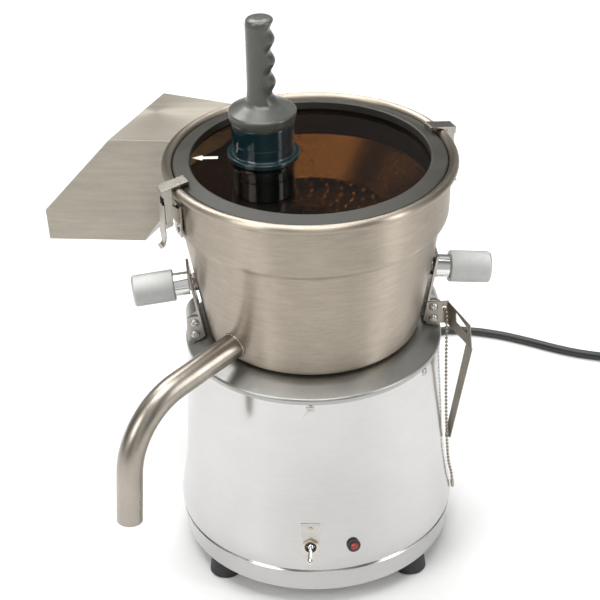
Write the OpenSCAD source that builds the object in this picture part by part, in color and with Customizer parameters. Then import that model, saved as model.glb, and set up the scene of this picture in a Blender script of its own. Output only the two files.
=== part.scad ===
// Commercial centrifugal juice extractor, with its bowl, pulp chute, juice spout and feed plunger.
// Millimetres. +Z is up, -Y is the front with the switch, and the origin is on the standing
// surface, under the middle of the machine's bounding box. The motor and the bowl share one
// vertical axis at x = axis_x, and every module below is drawn about that axis.

/* [Base] */
// Outer radius of the band at its lower edge
base_r = 140; // [136:0.5:144]
// Height of the rubber feet
foot_h = 20; // [18:1:22]
// Largest radius of a foot
foot_r = 17; // [15:0.5:18]
// Height of the band above the feet
band_h = 24.5; // [22:0.5:26]
// Outer radius of the body shell at its flared lower edge
shell_foot_r = 142.8; // [142:0.1:144]
// Outer radius of the body shell at its top edge
shell_top_r = 128.6; // [127:0.1:130]
// Height of the seam between the body shell and the top casting
seam_z = 240.8; // [236:0.2:244]
// Wall of the body shell
shell_wall = 2; // [1.5:0.1:3]

/* [Top casting] */
// Height of the deck that the bowl sits on
deck_z = 255.5; // [254:0.5:257]
// Radius of the deck
deck_r = 108; // [104:1:112]
// Radius of the casting over the body shell
casting_r = 129.8; // [129:0.1:131]
// Turn of the two bracket ears from the X axis, in degrees
ear_turn = 5.5; // [0:0.5:10]
// Half width of an ear
ear_half = 14; // [12:0.5:16]
// Height of an ear's rounded top
ear_top_z = 285; // [278:1:290]

/* [Bowl] */
// Height of the bowl's flat bottom
bowl_z = 258; // [257:0.5:259]
// Sheet of the bowl
bowl_wall = 1.6; // [1.2:0.1:2]
// Radius of the cone's lower end
cone_low_r = 107.5; // [106:0.5:109]
// Radius of the upper band at its lower end
band_low_r = 135; // [134:0.5:136]
// Radius of the upper band under the bead
band_top_r = 137; // [136:0.5:138]
// Height of the bead's centre
bead_z = 439.5; // [437:0.5:441]
// Radius of the bead's centre line
bead_ring_r = 138.8; // [138:0.1:139.5]
// Radius of the rolled bead
bead_r = 4.8; // [4:0.1:5]

/* [Lid and feed tube] */
// Outer radius of the lid's edge seal
seal_out_r = 133; // [131:0.5:133.5]
// Inner radius of the lid's edge seal
seal_in_r = 116.5; // [114:0.5:120]
// Top of the clear lid plate
lid_top_z = 437; // [436:0.5:438]
// Thickness of the clear lid plate
lid_t = 6; // [4:0.5:8]
// Centre of the feed tube from the axis, along X
tube_x = -45; // [-50:1:-42]
// Centre of the feed tube from the axis, along Y
tube_y = 17; // [10:1:22]
// Outer radius of the feed tube
tube_r = 30; // [28:0.5:32]
// Wall of the feed tube
tube_wall = 2.8; // [2:0.1:3.5]
// Top of the feed tube
tube_top_z = 474.5; // [468:0.5:480]
// Lower end of the feed tube
tube_low_z = 389; // [380:1:400]

/* [Plunger] */
// Radius of the pusher that slides in the feed tube
pusher_r = 26.7; // [25:0.1:26.8]
// Lower end of the pusher
pusher_low_z = 392; // [384:1:396]
// Largest radius of the dome
dome_r = 33; // [32:0.5:35]
// Radius of the handle
grip_r = 14; // [12:0.5:16]
// Top of the handle
grip_top_z = 581.5; // [560:0.5:600]
// Distance from one finger groove to the next
groove_pitch = 22; // [20:0.5:23]

/* [Juice spout] */
// Outer radius of the spout tube
spout_r = 12.7; // [12:0.1:13]
// Wall of the spout tube
spout_wall = 1.5; // [1:0.1:2]
// Direction in which the spout leaves the bowl, in degrees from +X
spout_turn = 225; // [220:1:230]
// Slope of the spout's first length, in degrees below level
spout_slope = 7.2; // [5:0.2:10]
// Radius of the bend
spout_bend_r = 75; // [70:1:80]
// Height of the spout's mouth
spout_low_z = 146; // [140:1:160]

/* [Pulp chute] */
// Top of the chute
chute_top_z = 432; // [430:0.5:433]
// Lower edge of the chute
chute_low_z = 317; // [310:1:325]
// Sheet of the chute
chute_wall = 1.2; // [1:0.1:1.6]

/* [Latches] */
// Direction of the right latch, in degrees from +X; the left one is opposite
latch_turn = 23.5; // [20:0.5:27]
// Radius of the two latch pivots from the bowl's axis
pivot_r = 148.5; // [148:0.1:149]
// Height of the pivot of the lever on its base
lever_pivot_z = 425; // [424:0.5:426]
// Height of the pivot of the hook on the lever
hook_pivot_z = 408; // [406:0.5:410]
// Radius of a latch pin
latch_pin_r = 1.6; // [1.5:0.05:1.8]

/* [Bowl locks] */
// Height at which a lock barrel passes its bracket strap
lock_z = 311; // [308:1:314]
// Slope of the locks below level, in degrees
lock_slope = 6; // [4:0.5:9]
// Radius of the knurled knob
knob_r = 15.9; // [15:0.1:17]
// Length of the knurled knob
knob_len = 41.5; // [38:0.5:44]
// Radius of the chromed barrel
barrel_r = 11.75; // [11:0.05:12]

/* [Drive] */
// Radius of the motor shaft
shaft_r = 7.5; // [7.5:0.5:8]
// Underside of the strainer basket's floor
basket_z = 371; // [368:1:372]
// Radius of the basket's floor
basket_low_r = 78; // [77:0.5:80]
// Radius of the basket's wall at its rim
basket_top_r = 119; // [116:0.5:120]
// Height of the basket's rim
basket_top_z = 404; // [402:0.5:405]
// Radius of the motor case
motor_r = 70; // [64:1:76]

/* [Switch and breaker] */
// Direction of the switch plate, in degrees from +X
switch_turn = 267.2; // [265:0.2:270]
// Height of the toggle
toggle_z = 76; // [72:1:80]
// Direction of the breaker, in degrees from +X
breaker_turn = 285; // [280:0.5:290]
// Height of the breaker
breaker_z = 73; // [68:1:78]

/* [Cord] */
// Radius of the power cord
cord_r = 4.75; // [4:0.05:5]
// Mean radius of the stored coil
coil_r = 52; // [50:1:56]
// Radius of one ball of the bead chain
ball_r = 1.7; // [1.5:0.05:1.8]

/* [Hidden] */
$fn = 72;
axis_x = 45.5;

eps = 0.01;
band_top_z = foot_h + band_h;
shell_low_z = band_top_z + 3;
flare_z = 125;
shell_slope = 0.045;
left_turn = 180 + ear_turn;
cone_low_z = 264;
cone_slope = 0.1745;
cone_tilt = atan(cone_slope);
step_in_z = 391;
step_r = 9;
step_foot_r = 6;
foot_x = 96;
foot_y = 80;
plate_t = 3;
screw_turns = [for (k = [0:5]) 268 + 60 * k];
motor_top_z = 222;
motor_low_z = 62;
motor_bolt_r = 55;
tower_top_z = 340;
bearing_r = 17.5;
bearing_t = 11;
chimney_top_z = 345;
strap_t = 2.5;
strap_gap = 4;
flange_t = 2.5;
bracket_top_z = 330;
flange_z = [251.5, 280];
pin_clear = 0.05;
knob_gap = 17.5;
strap_sheet = 1.2;
gland_turn = 80;
chute_turn = 65;
spout_lean = 5.1;
spout_vertex_r = 245.5;
spout_vertex_z = 260.9;
spout_bend = 90 - spout_slope - spout_lean;
spout_run = spout_bend_r * tan(spout_bend / 2);
weld_angle = 0.1;
spout_drop = (spout_vertex_z - spout_low_z) / cos(spout_lean) - spout_run;
gland_z = 31;

// Points of an arc in the plane of an outline, from angle a0 to a1
function arc(c, r, a0, a1, n = 6) =
    [for (i = [0:n]) let (a = a0 + (a1 - a0) * i / n) [c[0] + r * cos(a), c[1] + r * sin(a)]];

// Outer radius of the body shell: a slight cone that flares out over its foot
function shell_r(z) =
    let (cone = shell_top_r + shell_slope * (seam_z - z),
         foot = shell_foot_r - shell_top_r - shell_slope * (seam_z - shell_low_z),
         s = max(0, (flare_z - z) / (flare_z - shell_low_z - 10)))
    min(shell_foot_r, cone + foot * s * s);

// Outer radius of the bowl's cone
function cone_r(z) = cone_low_r + (z - cone_low_z) * cone_slope;

// Places a finished part on the axis of the machine
module on_axis() {
    translate([axis_x, 0, 0]) children();
}

// Turns a part that is drawn along +X about the axis of the machine
module at_turn(turn) {
    rotate([0, 0, turn]) children();
}

// A plate of thickness t whose outline lies in any plane, on the side of the outline's normal
module flat(pts, t, holes = []) {
    u = (pts[1] - pts[0]) / norm(pts[1] - pts[0]);
    n = cross(u, pts[2] - pts[0]) / norm(cross(u, pts[2] - pts[0]));
    v = cross(n, u);
    o = pts[0];
    multmatrix([[u[0], v[0], n[0], o[0]], [u[1], v[1], n[1], o[1]], [u[2], v[2], n[2], o[2]],
                [0, 0, 0, 1]])
        linear_extrude(t) difference() {
            polygon([for (p = pts) [(p - o) * u, (p - o) * v]]);
            if (len(holes) > 0) polygon([for (p = holes) [(p - o) * u, (p - o) * v]]);
        }
}

// A round rod from one point to another
module rod(a, b, r) {
    d = b - a;
    translate(a) rotate([0, acos(d[2] / norm(d)), atan2(d[1], d[0])]) cylinder(r = r, h = norm(d));
}

// ---------------------------------------------------------------- base

module feet() {
    color([0.07, 0.07, 0.07])
    for (x = [-foot_x, foot_x], y = [-foot_y, foot_y])
        translate([x, y, 0])
            rotate_extrude()
                polygon([[6, 0], [foot_r - 1, 0], [foot_r, 1.5], [foot_r - 2.5, foot_h],
                         [2.6, foot_h], [2.6, 8], [6, 8]]);
}

module foot_bolts() {
    color("silver")
    for (x = [-foot_x, foot_x], y = [-foot_y, foot_y])
        translate([x, y, 0]) {
            translate([0, 0, 4.5]) cylinder(r = 5.2, h = 3.5);
            translate([0, 0, 8]) cylinder(r = 2.5, h = foot_h - 8 + plate_t + 6);
            translate([0, 0, foot_h + plate_t]) cylinder(r = 4.6, h = 4, $fn = 6);
        }
}

module base_plate() {
    color([0.6, 0.6, 0.6])
    difference() {
        translate([0, 0, foot_h]) cylinder(r = base_r - 3, h = plate_t);
        for (x = [-foot_x, foot_x], y = [-foot_y, foot_y])
            translate([x, y, foot_h - 1]) cylinder(r = 2.6, h = plate_t + 2);
        for (r = [24, 42, 60, 78], a = [0:30:330])
            rotate([0, 0, a + r]) translate([r, 0, foot_h - 1]) cylinder(r = 4, h = plate_t + 2);
    }
}

module base_ring() {
    spigot = shell_foot_r - shell_wall - 0.4;
    color([0.8, 0.79, 0.78])
    difference() {
        rotate_extrude()
            polygon([[base_r - 2.8, foot_h], [base_r, foot_h], [base_r + 1, band_top_z - 5],
                     [base_r + 2.2, band_top_z - 3], [base_r + 2.2, band_top_z - 0.8],
                     [base_r + 1.4, band_top_z], [spigot, band_top_z], [spigot, band_top_z + 11],
                     [spigot - 3, band_top_z + 11], [spigot - 3, foot_h + 6],
                     [base_r - 6, foot_h + 6], [base_r - 6, foot_h + plate_t],
                     [base_r - 2.8, foot_h + plate_t]]);
        at_turn(gland_turn)
            translate([base_r - 20, 0, gland_z]) rotate([0, 90, 0]) cylinder(r = 8, h = 40);
    }
}

module body_shell() {
    heights = concat([shell_low_z, shell_low_z + 6], [for (z = [62:9:125]) z], [180, seam_z]);
    n = len(heights);
    color([0.83, 0.82, 0.8])
    difference() {
        rotate_extrude()
            polygon(concat(
                [for (z = heights) [shell_r(z), z]],
                [for (i = [1:n]) let (z = heights[n - i]) [shell_r(z) - shell_wall, z]]));
        on_shell(switch_turn, toggle_z) translate([0, 0, -10]) cylinder(r = 6.1, h = 20);
        on_shell(breaker_turn, breaker_z) translate([0, 0, -10]) cylinder(r = 5.1, h = 20);
        for (a = screw_turns)
            at_turn(a) translate([110, 0, seam_z - 4.8]) rotate([0, 90, 0]) cylinder(r = 2.2, h = 40);
    }
}

// Side view of an ear: it stands outside the strap and rounds over at its top
module ear_outline() {
    low = 246;
    top_x = strap_x(ear_top_z) + strap_t + 0.3;
    polygon(concat(
        [[strap_x(low) + strap_t + 0.3, low], [128.3, low]],
        arc([108.3, 268], 20, 0, acos((top_x - 108.3) / 20), 8)));
}

// Inner face of a bracket strap at height z, parallel with the bowl's cone
function strap_x(z) = cone_r(z) + strap_gap;

module top_casting() {
    color([0.62, 0.63, 0.6])
    difference() {
        union() {
            rotate_extrude()
                polygon(concat(
                    [[126, 226], [126, seam_z], [casting_r - 0.4, seam_z], [casting_r, seam_z + 0.6],
                     [casting_r, seam_z + 3]],
                    arc([casting_r - 3, seam_z + 3.4], 3, 0, 65, 4),
                    [[deck_r, deck_z], [96, deck_z], [95, bowl_z], [60, bowl_z], [59, deck_z - 1.5],
                     [30, deck_z - 1.5], [30, motor_top_z], [62, motor_top_z], [66, deck_z - 10],
                     [104, deck_z - 10], [119, 240], [121, 236], [121, 226]]));
            for (a = [ear_turn, left_turn])
                at_turn(a) rotate([90, 0, 0])
                    linear_extrude(2 * ear_half, center = true) ear_outline();
        }
        for (a = screw_turns)
            at_turn(a) translate([115, 0, seam_z - 4.8]) rotate([0, 90, 0]) cylinder(r = 1.9, h = 40);
        for (a = [45:90:315])
            at_turn(a) translate([motor_bolt_r, 0, motor_top_z - 1]) cylinder(r = 2.6, h = 20);
        for (a = [ear_turn, left_turn], z = [259.5, 273])
            at_turn(a) translate([120.5, -20, z]) rotate([-90, 0, 0]) cylinder(r = 2.1, h = 40);
    }
}

module body_screws() {
    r = shell_r(seam_z - 4.8);
    color("silver")
    for (a = screw_turns)
        at_turn(a) translate([0, 0, seam_z - 4.8]) rotate([0, 90, 0]) {
            translate([0, 0, 116]) cylinder(r = 1.85, h = r - 115.7);
            translate([0, 0, r]) rotate_extrude()
                polygon(concat([[0, 0.2], [4.3, 0.2]], [for (p = arc([0, 0.6], 4.3, 10, 90, 5))
                    [p[0], 0.6 + 0.6 * (p[1] - 0.6)]]));
        }
}

// ---------------------------------------------------------------- motor and drive

module motor_case() {
    color([0.3, 0.32, 0.34])
    difference() {
        union() {
            translate([0, 0, motor_low_z]) cylinder(r = motor_r, h = motor_top_z - motor_low_z);
            translate([0, 0, motor_low_z - 14]) cylinder(r = 26, h = 15);
        }
        translate([0, 0, motor_low_z + 6]) cylinder(r = motor_r - 4, h = motor_top_z - motor_low_z - 12);
        translate([0, 0, motor_low_z - 14 - eps]) cylinder(r = bearing_r, h = bearing_t + eps);
        translate([0, 0, motor_low_z - 20]) cylinder(r = 10, h = 60);
        translate([0, 0, motor_top_z - 20]) cylinder(r = 26, h = 40);
        for (a = [0:30:330], z = [motor_low_z + 14, motor_top_z - 26])
            at_turn(a) translate([motor_r, 0, z]) cube([20, 9, 12], center = true);
        for (a = [45:90:315])
            at_turn(a) translate([motor_bolt_r, 0, motor_top_z - 10]) cylinder(r = 2.6, h = 20);
    }
}

module stator() {
    color([0.55, 0.35, 0.2]) {
        difference() {
            translate([0, 0, 112]) cylinder(r = motor_r - 4, h = 64);
            translate([0, 0, 100]) cylinder(r = 38.6, h = 90);
        }
        for (z = [94, 176])
            translate([0, 0, z]) rotate_extrude()
                polygon([[42, 0], [60, 0], [60, 18], [42, 18]]);
    }
}

module motor_bolts() {
    color("dimgray")
    for (a = [45:90:315])
        at_turn(a) translate([motor_bolt_r, 0, motor_top_z - 10]) {
            cylinder(r = 2.5, h = 26);
            translate([0, 0, -0.01]) cylinder(r = 4.4, h = 4, $fn = 6);
        }
}

// A ball bearing: two rings and a row of balls
module bearing(z) {
    translate([0, 0, z]) {
        rotate_extrude() difference() {
            union() {
                translate([shaft_r + pin_clear, 0]) square([3, bearing_t]);
                translate([bearing_r - 3, 0]) square([3, bearing_t]);
            }
            translate([(shaft_r + bearing_r) / 2, bearing_t / 2]) circle(r = 2.6, $fn = 32);
        }
        for (a = [0:45:315])
            rotate([0, 0, a]) translate([(shaft_r + bearing_r) / 2, 0, bearing_t / 2])
                sphere(r = 2.55, $fn = 24);
    }
}

module upper_bearing() {
    color("lightgray") bearing(tower_top_z - bearing_t);
}

module lower_bearing() {
    color("lightgray") bearing(motor_low_z - 14);
}

module run_capacitor() {
    color([0.15, 0.15, 0.16])
    translate([0, motor_r + 26, 0]) {
        translate([0, 0, 90]) cylinder(r = 20, h = 80);
        for (x = [-6, 6])
            translate([x - 3, -0.4, 170]) cube([6, 0.8, 9]);
        difference() {
            translate([-24, -26, 120]) cube([48, 50, 10]);
            translate([0, 0, 100]) cylinder(r = 20, h = 80);
            translate([0, -motor_r - 26, 100]) cylinder(r = motor_r, h = 80);
        }
    }
}

module bearing_tower() {
    color([0.6, 0.6, 0.6])
    rotate_extrude()
        polygon([[29.8, motor_top_z + 2], [29.8, deck_z - 1.5], [50, deck_z - 1.5], [50, bowl_z - 0.6],
                 [34, bowl_z - 0.6], [30, bowl_z + 4], [27, tower_top_z], [bearing_r, tower_top_z], [bearing_r, tower_top_z - bearing_t],
                 [13, tower_top_z - bearing_t], [13, motor_top_z + 2]]);
}

module shaft_seal() {
    color([0.12, 0.12, 0.12])
    translate([0, 0, tower_top_z]) rotate_extrude()
        polygon([[shaft_r + 0.1, 0], [bearing_r + 8, 0], [bearing_r + 8, 2], [shaft_r + 2, 2.6],
                 [shaft_r + 0.1, 1.4]]);
}

module motor_shaft() {
    color("silver")
    union() {
        translate([0, 0, motor_low_z - 22]) cylinder(r = shaft_r, h = basket_z + 16 - motor_low_z + 22);
    }
}

module rotor_core() {
    color([0.5, 0.5, 0.52])
    difference() {
        union() {
            translate([0, 0, 110]) cylinder(r = 38, h = 68);
            translate([0, 0, 102]) cylinder(r = 35, h = 84);
        }
        translate([0, 0, 90]) cylinder(r = shaft_r, h = 110);
    }
}

module cooling_fan() {
    color([0.2, 0.2, 0.22])
    difference() {
        union() {
            translate([0, 0, 74]) cylinder(r = 14, h = 16);
            translate([0, 0, 74]) cylinder(r = 50, h = 2);
            for (a = [0:40:320])
                rotate([0, 0, a]) translate([13, -1, 75]) cube([37, 2, 13]);
        }
        translate([0, 0, 60]) cylinder(r = shaft_r, h = 40);
    }
}

module drive_hub() {
    color([0.7, 0.7, 0.7])
    rotate_extrude()
        polygon([[shaft_r, tower_top_z + 3.5], [14, tower_top_z + 3.5], [15, basket_z - 15],
                 [38, basket_z - 15], [38, basket_z - 39], [41.5, basket_z - 39],
                 [42.5, basket_z - 35], [42.5, basket_z], [shaft_r, basket_z]]);
}

module strainer_basket() {
    t = 1.5;
    color([0.7, 0.66, 0.58])
    rotate_extrude()
        polygon([[shaft_r, basket_z], [basket_low_r, basket_z], [basket_top_r, basket_top_z - 2],
                 [basket_top_r + 3, basket_top_z - 2], [basket_top_r + 3, basket_top_z],
                 [basket_top_r - t, basket_top_z], [basket_low_r - t, basket_z + 2],
                 [shaft_r, basket_z + 2]]);
}

module grater_disc() {
    disc_r = 76;
    disc_z = basket_z + 2;
    color([0.75, 0.75, 0.72]) {
        difference() {
            translate([0, 0, disc_z]) cylinder(r = disc_r, h = 3);
            translate([0, 0, disc_z - 1]) cylinder(r = shaft_r, h = 6);
        }
        for (ring = [1:5], k = [0:6 + 4 * ring])
            rotate([0, 0, k * 360 / (7 + 4 * ring) + 11 * ring])
                translate([14 + 11 * ring, 0, disc_z + 2.9])
                    rotate([90, 0, 20]) linear_extrude(3) polygon([[-2, 0], [2, 0], [1.6, 2.4]]);
    }
}

module hub_nut() {
    color("silver")
    translate([0, 0, basket_z + 5]) difference() {
        union() {
            cylinder(r = 15, h = 2);
            cylinder(r = 13.8, h = 10, $fn = 6);
            translate([0, 0, 9]) cylinder(r = 10.5, h = 4.5);
        }
        translate([0, 0, -1]) cylinder(r = shaft_r, h = 12);
    }
}

// ---------------------------------------------------------------- switch, breaker and gland

// Lean of the shell's surface back from the vertical at height z
function lean(z) = atan((shell_r(z - 1) - shell_r(z + 1)) / 2);

// Places its children on the shell's surface, with +Z outward along its normal
module on_shell(turn, z) {
    at_turn(turn) translate([shell_r(z), 0, z]) rotate([0, 90 - lean(z), 0]) children();
}

module switch_plate() {
    heights = [48.5, 53.5, 62, 71, 80, 89, 101];
    n = len(heights) - 1;
    color([0.8, 0.79, 0.77])
    difference() {
        intersection() {
            rotate_extrude()
                polygon(concat([for (z = heights) [shell_r(z) + 1, z]],
                               [for (i = [0:n]) [shell_r(heights[n - i]) + 0.02, heights[n - i]]]));
            at_turn(switch_turn) translate([120, -10, 40]) cube([40, 20, 70]);
        }
        on_shell(switch_turn, toggle_z) translate([0, 0, -10]) cylinder(r = 6.1, h = 20);
        on_shell(switch_turn, 95) translate([0, 0, -10]) cylinder(r = 1.6, h = 20);
    }
}

module switch_body() {
    color([0.1, 0.1, 0.11])
    on_shell(switch_turn, toggle_z) {
        difference() {
            union() {
                translate([-15, -8, -31]) cube([30, 16, 24]);
                translate([0, 0, -8]) cylinder(r = 6, h = 12.4);
            }
            translate([0, 0, -4]) cylinder(r = 4.4, h = 12);
        }
        for (x = [-9, 0, 9])
            translate([x - 0.4, -2.4, -39]) cube([0.8, 4.8, 8.01]);
    }
}

module switch_nut() {
    color([0.75, 0.65, 0.4]) {
        on_shell(switch_turn, toggle_z) translate([0, 0, 1.3]) difference() {
            union() {
                cylinder(r = 8, h = 0.7);
                translate([0, 0, 0.7]) cylinder(r = 7.9, h = 2.2, $fn = 6);
            }
            translate([0, 0, -1]) cylinder(r = 6, h = 6);
        }
        on_shell(switch_turn, 95) translate([0, 0, 1.1]) cylinder(r = 2.4, h = 1);
    }
}

toggle_pivot = 1.6;
toggle_rest = 25;

module toggle_lever() {
    color("silver")
    on_shell(switch_turn, toggle_z) translate([0, 0, toggle_pivot]) {
        sphere(r = 3.9, $fn = 48);
        rotate([90, 0, 0]) cylinder(r = 1.5, h = 8.1, center = true);
        rotate([0, toggle_rest, 0]) rotate_extrude()
            polygon([[0, 0], [1.9, 0], [2, 6], [2.9, 18], [2.6, 20], [1.4, 21.2], [0, 21.4]]);
    }
}

module breaker_body() {
    color([0.1, 0.1, 0.1])
    on_shell(breaker_turn, breaker_z) difference() {
        union() {
            translate([0, 0, -30]) cylinder(r = 5, h = 30.5);
            translate([0, 0, -26]) cylinder(r = 9, h = 20);
            translate([0, 0, 0.4]) cylinder(r = 6.8, h = 2.6);
        }
        translate([0, 0, -8]) cylinder(r = 3.8, h = 20);
    }
}

module breaker_button() {
    color([0.6, 0.05, 0.05])
    on_shell(breaker_turn, breaker_z) rotate_extrude()
        polygon([[0, -6], [3.75, -6], [3.75, 4.6], [3, 5.4], [0, 5.4]]);
}

module cord_gland() {
    color([0.08, 0.08, 0.08])
    at_turn(gland_turn)
        translate([base_r + 1.2, 0, gland_z]) rotate([0, 90, 0]) rotate_extrude()
            polygon([[cord_r, -12], [7.6, -12], [7.6, 0.2], [9, 0.2], [9, 3], [8, 5],
                     [6, 36], [cord_r, 36]]);
}

// ---------------------------------------------------------------- cord and plug

cord_start = [(base_r + 37.2) * cos(gland_turn), (base_r + 37.2) * sin(gland_turn), gland_z];
cord_points = [cord_start, [34, 196, 28], [40, 218, 20.5], [48, 242, 11], [58, 266, 6],
               [70, 290, 5], [88, 318, 5], [112, 342, 5], [140, 358, 5], [170, 366, 5],
               [202, 362, 5], [234, 352, 5], [266, 337, 5], [296, 321, 5],
               [326, 308, 5], [362, 299, 5], [398, 302, 5]];
coil_at = [430, 250];
coil_low_z = 0.3;
tail_points = [[482, 250, 14.6], [482, 228, 14.6], [482, 208, 13.4], [482, 192, 10], [482, 180, 8.8], [482, 170.3, 8.8]];

// A point of a smooth curve through the cord's points
function smooth(p, i, t) =
    let (n = len(p) - 1, a = p[max(i - 1, 0)], b = p[i], c = p[i + 1], d = p[min(i + 2, n)])
    0.5 * (2 * b + (c - a) * t + (2 * a - 5 * b + 4 * c - d) * t * t
           + (3 * b - a - 3 * c + d) * t * t * t);

// The same curve as a list of points, two for each stretch
function smooth_path(p) =
    let (n = len(p) - 1)
    concat([for (i = [0:n - 1]) for (t = [0, 0.5]) smooth(p, i, t)], [p[n]]);

// A closed tube swept along a path of points; ref is a direction that the path never takes
module tube_along(path, r, sides, ref) {
    n = len(path) - 1;
    way = [for (i = [0:n]) let (v = path[min(i + 1, n)] - path[max(i - 1, 0)]) v / norm(v)];
    rings = [for (i = [0:n])
        let (s = cross(way[i], ref), u = s / norm(s), v = cross(u, way[i]))
        [for (k = [0:sides - 1]) path[i] + r * (cos(k * 360 / sides) * u + sin(k * 360 / sides) * v)]];
    polyhedron(
        points = [for (ring = rings) for (p = ring) p],
        faces = concat(
            [[for (k = [0:sides - 1]) k]],
            [[for (k = [0:sides - 1]) n * sides + sides - 1 - k]],
            [for (i = [0:n - 1]) for (k = [0:sides - 1]) let (m = (k + 1) % sides)
                [i * sides + k, (i + 1) * sides + k, (i + 1) * sides + m, i * sides + m]]));
}

module power_cord() {
    color([0.05, 0.06, 0.05])
    for (route = [cord_points, tail_points])
        tube_along(smooth_path(route), cord_r, 12, [0, 0, 1]);
}

module cord_coil() {
    turn = 2 * cord_r;
    color([0.06, 0.07, 0.06])
    translate([coil_at[0], coil_at[1], coil_low_z])
        rotate_extrude()
            translate([coil_r - turn, 0])
                polygon([[0, 0.8 * cord_r], [0, 2 * cord_r], [0.8 * cord_r, 4 * cord_r],
                         [3.2 * cord_r, 4 * cord_r], [4 * cord_r, 2 * cord_r], [4 * cord_r, 0.8 * cord_r],
                         [3.4 * cord_r, 0], [0.6 * cord_r, 0]]);
}

plug_at = [482, 140];

module plug_body() {
    color([0.06, 0.06, 0.06])
    translate([plug_at[0], plug_at[1], 0.3]) rotate([0, 0, -90])
        translate([-14, 0, 0]) {
            translate([0, -13, 0]) cube([26, 26, 17]);
            translate([-16, 0, 8.5]) rotate([0, 90, 0]) cylinder(r1 = 6.4, r2 = 8.4, h = 16.01);
        }
}

module plug_pins() {
    color([0.8, 0.7, 0.4])
    translate([plug_at[0], plug_at[1], 0.3]) rotate([0, 0, -90])
        translate([12, 0, 0]) {
            for (y = [-6.4, 6.4])
                translate([0, y - 0.8, 2.4]) cube([17, 1.6, 6.4]);
            translate([0, 0, 12.5]) rotate([0, 90, 0]) cylinder(r = 2.4, h = 20);
        }
}

// ---------------------------------------------------------------- bowl

// Outline of the bowl's outside from the bead down to the chimney, set in by t
module bowl_outline(t) {
    step_a = 60;
    step_c = [band_low_r - step_r, step_in_z];
    step_p = [step_c[0] + step_r * cos(step_a), step_in_z - step_r * sin(step_a)];
    foot_c = step_p + step_foot_r * [cos(step_a), -sin(step_a)];
    low_c = [cone_r(bowl_z + 8) - 8 / cos(cone_tilt), bowl_z + 8];
    polygon(concat(
        [[0, bead_z], [band_top_r - t, bead_z]],
        arc(step_c, step_r - t, 0, -step_a),
        arc(foot_c, step_foot_r + t, 180 - step_a, 180 - cone_tilt, 4),
        arc(low_c, 8 - t, -cone_tilt, -90),
        [[0, bowl_z + t]]));
}

module bowl_section() {
    difference() {
        bowl_outline(0);
        bowl_outline(bowl_wall);
        square([42, 600]);
    }
    translate([bead_ring_r, bead_z]) circle(r = bead_r, $fn = 40);
    polygon([[36.6, bowl_z], [42.1, bowl_z], [42.1, bowl_z + bowl_wall], [38.6, bowl_z + bowl_wall],
             [33.6 + bowl_wall, chimney_top_z], [33.6, chimney_top_z]]);
    translate([126.5, 426.4]) square([band_top_r - 127.4, 1.6]);
}

// Distance back along Y at which the chute's front wall stands, at x
function chute_front(x) = 49 - 0.0785 * x;

// A point of the chute's side outline, taken square to the direction of its roof and end panels
function chute_side(x, z) = [(x - chute_front(x) / tan(chute_turn)) * sin(chute_turn), z];

// The chute's plan: two walls that spread away from the bowl, set in by t
module chute_plan(t) {
    polygon([[-40, chute_front(-40) + t], [-330, chute_front(-330) + t], [-210, 193.5 - t],
             [-30, 122.3 - t]]);
}

// The outside of the chute for t = 0, or its hollow for t = the sheet, open below by b
module chute_block(t, b) {
    intersection() {
        translate([0, 0, 250]) linear_extrude(250) chute_plan(t);
        rotate([0, 0, chute_turn - 90]) rotate([90, 0, 0]) linear_extrude(700, center = true)
            polygon([chute_side(-40, chute_top_z - t), chute_side(-200.7 + 0.5 * t, chute_top_z - t),
                     chute_side(-271.5 + t, 351 - 0.4 * t), chute_side(-270 + t, chute_low_z - b),
                     chute_side(-170.7 - t, chute_low_z - b), chute_side(-170.7 - t, chute_low_z + 1),
                     chute_side(-121, 387 + 1.2 * t), chute_side(-40, 387 + 1.2 * t)]);
    }
}

// Places its children where the spout's two lengths would cross, with +X along the first
module at_spout_vertex() {
    at_turn(spout_turn) translate([spout_vertex_r, 0, spout_vertex_z]) rotate([0, spout_slope, 0])
        children();
}

// The spout's first length, from inside the bowl, at radius r from the axis of the machine
module spout_bore(r, from) {
    length = (spout_vertex_r - from) / cos(spout_slope) - spout_run;
    at_spout_vertex() translate([-spout_run - 0.1 - length, 0, 0]) rotate([0, 90, 0]) cylinder(r = r, h = length);
}

// The bend and the last length, with a weld ring at each joint; the section is a child
module spout_bend() {
    at_spout_vertex() {
        translate([-spout_run, 0, -spout_bend_r]) rotate([90, 0, 0])
            rotate([0, 0, 90 - spout_bend + weld_angle])
                rotate_extrude(angle = spout_bend - 2 * weld_angle)
                    translate([spout_bend_r, 0]) children();
        rotate([0, spout_bend, 0]) translate([spout_run + 0.1, 0, 0]) rotate([0, 90, 0])
            linear_extrude(spout_drop) children();
        for (way = [0, 1])
            rotate([0, way * spout_bend, 0]) translate([(2 * way - 1) * spout_run, 0, 0])
                rotate([0, 90, 0]) rotate_extrude()
                    polygon([[spout_r - 0.8, -1.5], [spout_r + 0.2, -1.5], [spout_r + 0.5, 0],
                             [spout_r + 0.2, 1.5], [spout_r - 0.8, 1.5]]);
    }
}

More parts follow.
